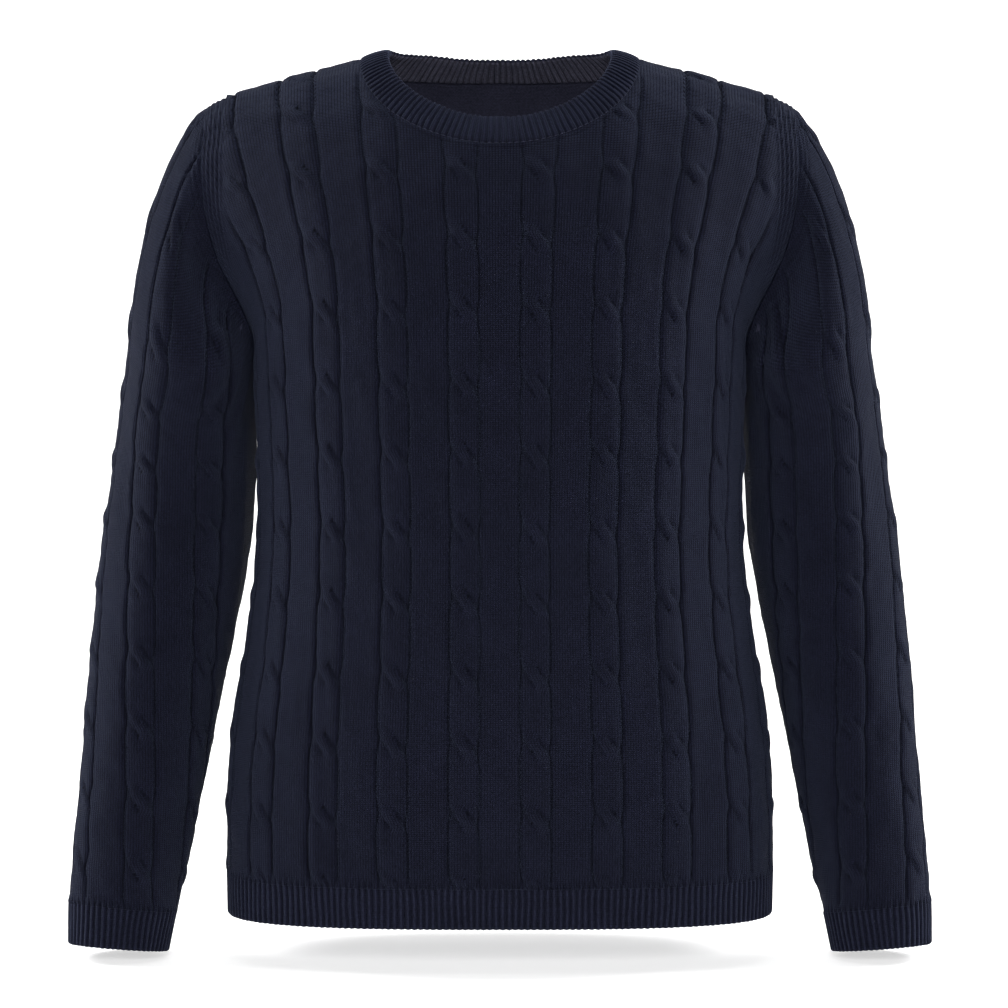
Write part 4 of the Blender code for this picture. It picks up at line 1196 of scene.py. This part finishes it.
def ribbedPiece(name, node, place, ribs, thickness, riseOf, ring, upwards):
    # place(share, level) gives points and outward normals, from level 0 at the seam to 1 at the
    # free edge; a ring's ribs run over its free edge, other ribs swap there with their furrows
    ends = 0 if ring else 1
    share = np.arange(ribs * rib["perRib"] + ends) / (ribs * rib["perRib"])
    seamPoints, _ = place(share, 0.0)
    edgePoints, _ = place(share, 1.0)
    tall = float(np.median(np.linalg.norm(edgePoints - seamPoints, axis=1)))
    stop = 1 - (0.5 * thickness + riseOf) / tall
    levels = np.linspace(0.0, stop, rib["rows"])
    path = [(level, 0.0) for level in levels]
    path += [(stop, math.pi * k / rib["foldSteps"]) for k in range(1, rib["foldSteps"])]
    path += [(level, math.pi) for level in levels[::-1]]
    places, knits, furrows, run = [], [], [], 0.0
    phases = np.random.default_rng(len(name)).uniform(0, 2 * math.pi, 4)
    ribAt = share * ribs
    for level, turn in path:
        points, normals = place(share, level)
        ahead, _ = place(share, min(level + 0.02, 1.0))
        behind, _ = place(share, max(level - 0.02, 0.0))
        onwards = unit(ahead - behind)
        middle = points - normals * (thickness / 2)
        way = normals * math.cos(turn) + onwards * math.sin(turn)
        stray = rib["wander"] * sum(np.sin(ribAt * perRib + upwardsTurn * level + phase)
                                    for (perRib, upwardsTurn), phase in zip(rib["waves"], phases))
        t = ribAt + stray * min(1.0, 4 * level)
        height = ribHeight(t)
        if not ring:
            back = 0.5 - 0.5 * math.cos(turn)
            over, between = math.sin(turn), ribHeight(t + 0.5)
            sink, fillIn = rib["fold"]
            height = height * (1 - back) + between * back
            height = height * (1 - sink * over) - fillIn * over * between
        tight = 1 + rib["uneven"] * np.sin(ribAt * rib["unevenTurn"] + phases[2]) * level
        up = level * tall
        soft = 1 - 0.5 * math.exp(-(up / rib["seamSoft"]) ** 2) if ring or turn > 3 else 1.0
        rise = riseOf * height[:, None] * soft * tight[:, None]
        places.append(middle + way * (thickness / 2 + rise))
        if turn in (0.0, math.pi):
            run += tall / (rib["rows"] - 1)
        else:
            run += thickness / 2 * math.pi / rib["foldSteps"]
        knits.append(np.stack([2 * t - 1, np.full(len(share), run / yarn["course"])], -1))
        # painted shade in the furrows and at the neckband's seam, less a painted highlight on each
        # crest
        dark, darkReach = rib["seamDark"]
        seamShade = dark * math.exp(-(up / darkReach) ** 2) if ring else 0.0
        shade = np.minimum((1 - height) ** rib["furrowNarrow"] + seamShade, 1.0)
        furrows.append(shade - rib["crestLight"] * height ** 3)
    count, rowsAll = len(share), len(path)
    faces, looks = [], []
    for r in range(rowsAll):
        s = (r + 1) % rowsAll
        for i in range(count - ends):
            j = (i + 1) % count
            faces.append((r * count + i, r * count + j, s * count + j, s * count + i))
            looks.append(1 if path[r][1] > 2.0 else 0)      # the inside has its own yarn, painted lighter to stand in for light
    if not ring:
        faces.append(tuple(r * count for r in range(rowsAll)))
        faces.append(tuple(r * count + count - 1 for r in reversed(range(rowsAll))))
        looks += [0, 0]
    if not upwards:
        faces = [face[::-1] for face in faces]
    piece = makeMesh(name, np.concatenate(places), faces, np.concatenate(knits),
                     np.concatenate(furrows), rib["smoothAngle"])
    piece.data.materials.append(ribYarn)
    piece.data.materials.append(innerRibLitYarn)
    piece.data.polygons.foreach_set("material_index", looks)
    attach(piece, "root")
    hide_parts(node)
    print(name, len(share) * rowsAll, "points")
    return piece


def edgeRib(name, node, side, form, seamAt, edgeAt, halfAt, ribs, thickness):
    # a hem or cuff, from its seam to its free edge; halfAt(height) is half its width there
    def place(share, level):
        height = np.full(len(share), seamAt + (edgeAt - seamAt) * level)
        flat = np.stack([(2 * share - 1) * halfAt(height), height], -1)
        return form(flat[:, 0], flat[:, 1]), normalsOf(form, flat, -side)

    return ribbedPiece(name, node, place, ribs, thickness, ribRun["rise"], False, side > 0)


def hemPiece(name, node, side):
    return edgeRib(name, node, side, bodyForm(side), bodyCut["hemSeam"] - seamGap / 2,
                   bodyCut["hemBottom"], lambda height: bodyCut["halfPanel"] - seamGap / 2,
                   hemRibs, hem["thickness"])


def cuffPiece(name, node, side):
    return edgeRib(name, node, side, sleeveForm(side), cuffTop, alongAt(sleeveCut["cuffBottom"]),
                   lambda along: halfRound(along) - seamGap / 2, cuffRibs, cuff["thickness"])


hemFront = hemPiece("hem_front_rib", "hem_rib_front", -1)
hemBack = hemPiece("hem_back_rib", "hem_rib_back", 1)
cuffLeft = cuffPiece("cuff_left_rib", "cuff_left", 1)
cuffRight = cuffPiece("cuff_right_rib", "cuff_right", -1)

neckband = {
    "pitch": 0.0051,
    "thickness": 0.0036,
    "rise": 0.0014,
    "gap": 0.0001,
    "bow": 0.0010,               # how far it bows out between its seam and its free edge
    "centre": -0.020,
    # turn from the front's middle, width left, depth left, rise: the top edge
    "top": [
        (0.0, 0.80, 0.860, 0.0230), (40.0, 0.80, 0.855, 0.0196), (75.0, 0.80, 0.840, 0.0078),
        (90.0, 0.80, 0.818, 0.0072), (100.0, 0.80, 0.800, 0.0139), (112.0, 0.80, 0.785, 0.0172),
        (135.0, 0.80, 0.765, 0.0153), (180.0, 0.80, 0.740, 0.0136),
    ],
}


def neckSeam():
    points = []
    for side, turns in ((1, (0, 90)), (-1, (90, -90)), (1, (-90, 0))):
        steps = abs(turns[1] - turns[0]) * 2 + 1
        flat = neckline(side, np.radians(np.linspace(*turns, steps)[:-1]))
        points.append(bodyForm(side)(flat[:, 0], flat[:, 1]))
    return closed(np.concatenate(points))


def neckPiece(name, node):
    line = neckSeam()
    run = runLength(line)
    turn = np.degrees(np.arctan2(np.abs(line[:, 0]), -line[:, 1]))
    width, depth, rise = (smoothTable(turn, neckband["top"], k) for k in (1, 2, 3))
    centre = neckband["centre"]
    deep = centre + (line[:, 1] - centre) * depth
    top = np.stack([line[:, 0] * width, deep, line[:, 2] + rise], -1)
    tangent = np.gradient(line, axis=0)
    tangent[0] = tangent[-1] = line[1] - line[-2]
    stand = unit(top - line)
    facing = unit(np.cross(tangent, stand))
    facing *= np.sign(facing[:, 2:3])
    low = line + stand * neckband["gap"]

    def place(share, level):
        at = share * run[-1]
        first, last, out = (readCurve(at, run, row) for row in (low, top, facing))
        bow = neckband["bow"] * math.sin(math.pi * min(level, 1.0))
        return first + (last - first) * level + unit(out) * bow, unit(out)

    return ribbedPiece(name, node, place, even(run[-1] / neckband["pitch"]),
                       neckband["thickness"], neckband["rise"], True, True)


neckRing = neckPiece("neck_rib", "neckband")
# Floor, lights and camera
studio = {
    "floor": -0.7110,
    "floorColour": (0.93, 0.93, 0.93, 1.0),
    "floorGlow": 0.58,           # paper lit from behind
    "floorRoughness": 0.9,
    "floorFront": -4.0,
    "floorHalf": 5.0,
    "bendAt": 1.6,               # the paper rises behind the object in a quarter circle
    "bend": 1.2,
    "bendSteps": 16,
    "wallTop": (2.8, 4.5),
    "cameraPlace": (0.0032, -1.8, -0.354),
    "lens": 80.36,
    "sensor": 36.0,
    "air": (1.0, 1.0, 1.0, 1.0),
    "airStrength": 0.10,
    # name, place, aim, size, watts
    "lights": [
        ("front", (0.0, -2.6, 0.45), (0.0, 0.0, -0.25), 0.9, 40.0),
        ("above", (0.0, -0.35, 1.6), (0.0, 0.0, -0.10), 1.1, 9.0),
        ("left", (-2.0, 0.50, 0.60), (-0.25, 0.0, -0.25), 1.0, 46.0),
        ("right", (2.0, 0.50, 0.60), (0.25, 0.0, -0.25), 1.0, 46.0),
    ],
}


def makeFloor():
    mesh = bpy.data.meshes.new("floor")
    bend, half = studio["bend"], studio["floorHalf"]
    rows = [(studio["floorFront"], 0.0)]
    for a in np.linspace(0, math.pi / 2, studio["bendSteps"]):
        rows.append((studio["bendAt"] + bend * math.sin(a), bend - bend * math.cos(a)))
    rows.append(studio["wallTop"])
    places = [(x, y, studio["floor"] + z) for y, z in rows for x in (-half, half)]
    faces = [(2 * i, 2 * i + 1, 2 * i + 3, 2 * i + 2) for i in range(len(rows) - 1)]
    mesh.from_pydata(places, [], faces)
    mesh.polygons.foreach_set("use_smooth", [True] * len(faces))
    material = bpy.data.materials.new("paper")
    material.use_nodes = True
    shader = material.node_tree.nodes["Principled BSDF"]
    shader.inputs["Base Color"].default_value = studio["floorColour"]
    shader.inputs["Roughness"].default_value = studio["floorRoughness"]
    shader.inputs["Emission Color"].default_value = studio["air"]
    shader.inputs["Emission Strength"].default_value = studio["floorGlow"]
    mesh.materials.append(material)
    floor = bpy.data.objects.new("floor", mesh)
    bpy.context.scene.collection.objects.link(floor)


def makeLights():
    for name, place, aim, size, watts in studio["lights"]:
        data = bpy.data.lights.new(name, "AREA")
        data.shape = "DISK"
        data.size = size
        data.energy = watts
        lamp = bpy.data.objects.new(name, data)
        lamp.location = place
        lamp.rotation_euler = (Vector(aim) - Vector(place)).to_track_quat("-Z", "Y").to_euler()
        bpy.context.scene.collection.objects.link(lamp)
    world = bpy.data.worlds.new("studio")
    world.use_nodes = True
    air = world.node_tree.nodes["Background"]
    air.inputs["Color"].default_value = studio["air"]
    air.inputs["Strength"].default_value = studio["airStrength"]
    bpy.context.scene.world = world


def makeCamera():
    data = bpy.data.cameras.new("camera")
    data.lens = studio["lens"]
    data.sensor_width = studio["sensor"]
    camera = bpy.data.objects.new("camera", data)
    camera.location = studio["cameraPlace"]
    camera.rotation_euler = (math.pi / 2, 0.0, 0.0)
    bpy.context.scene.collection.objects.link(camera)
    bpy.context.scene.camera = camera
    bpy.context.scene.view_settings.view_transform = "Standard"


makeFloor()
makeLights()
makeCamera()
print("floor, lights and camera made")
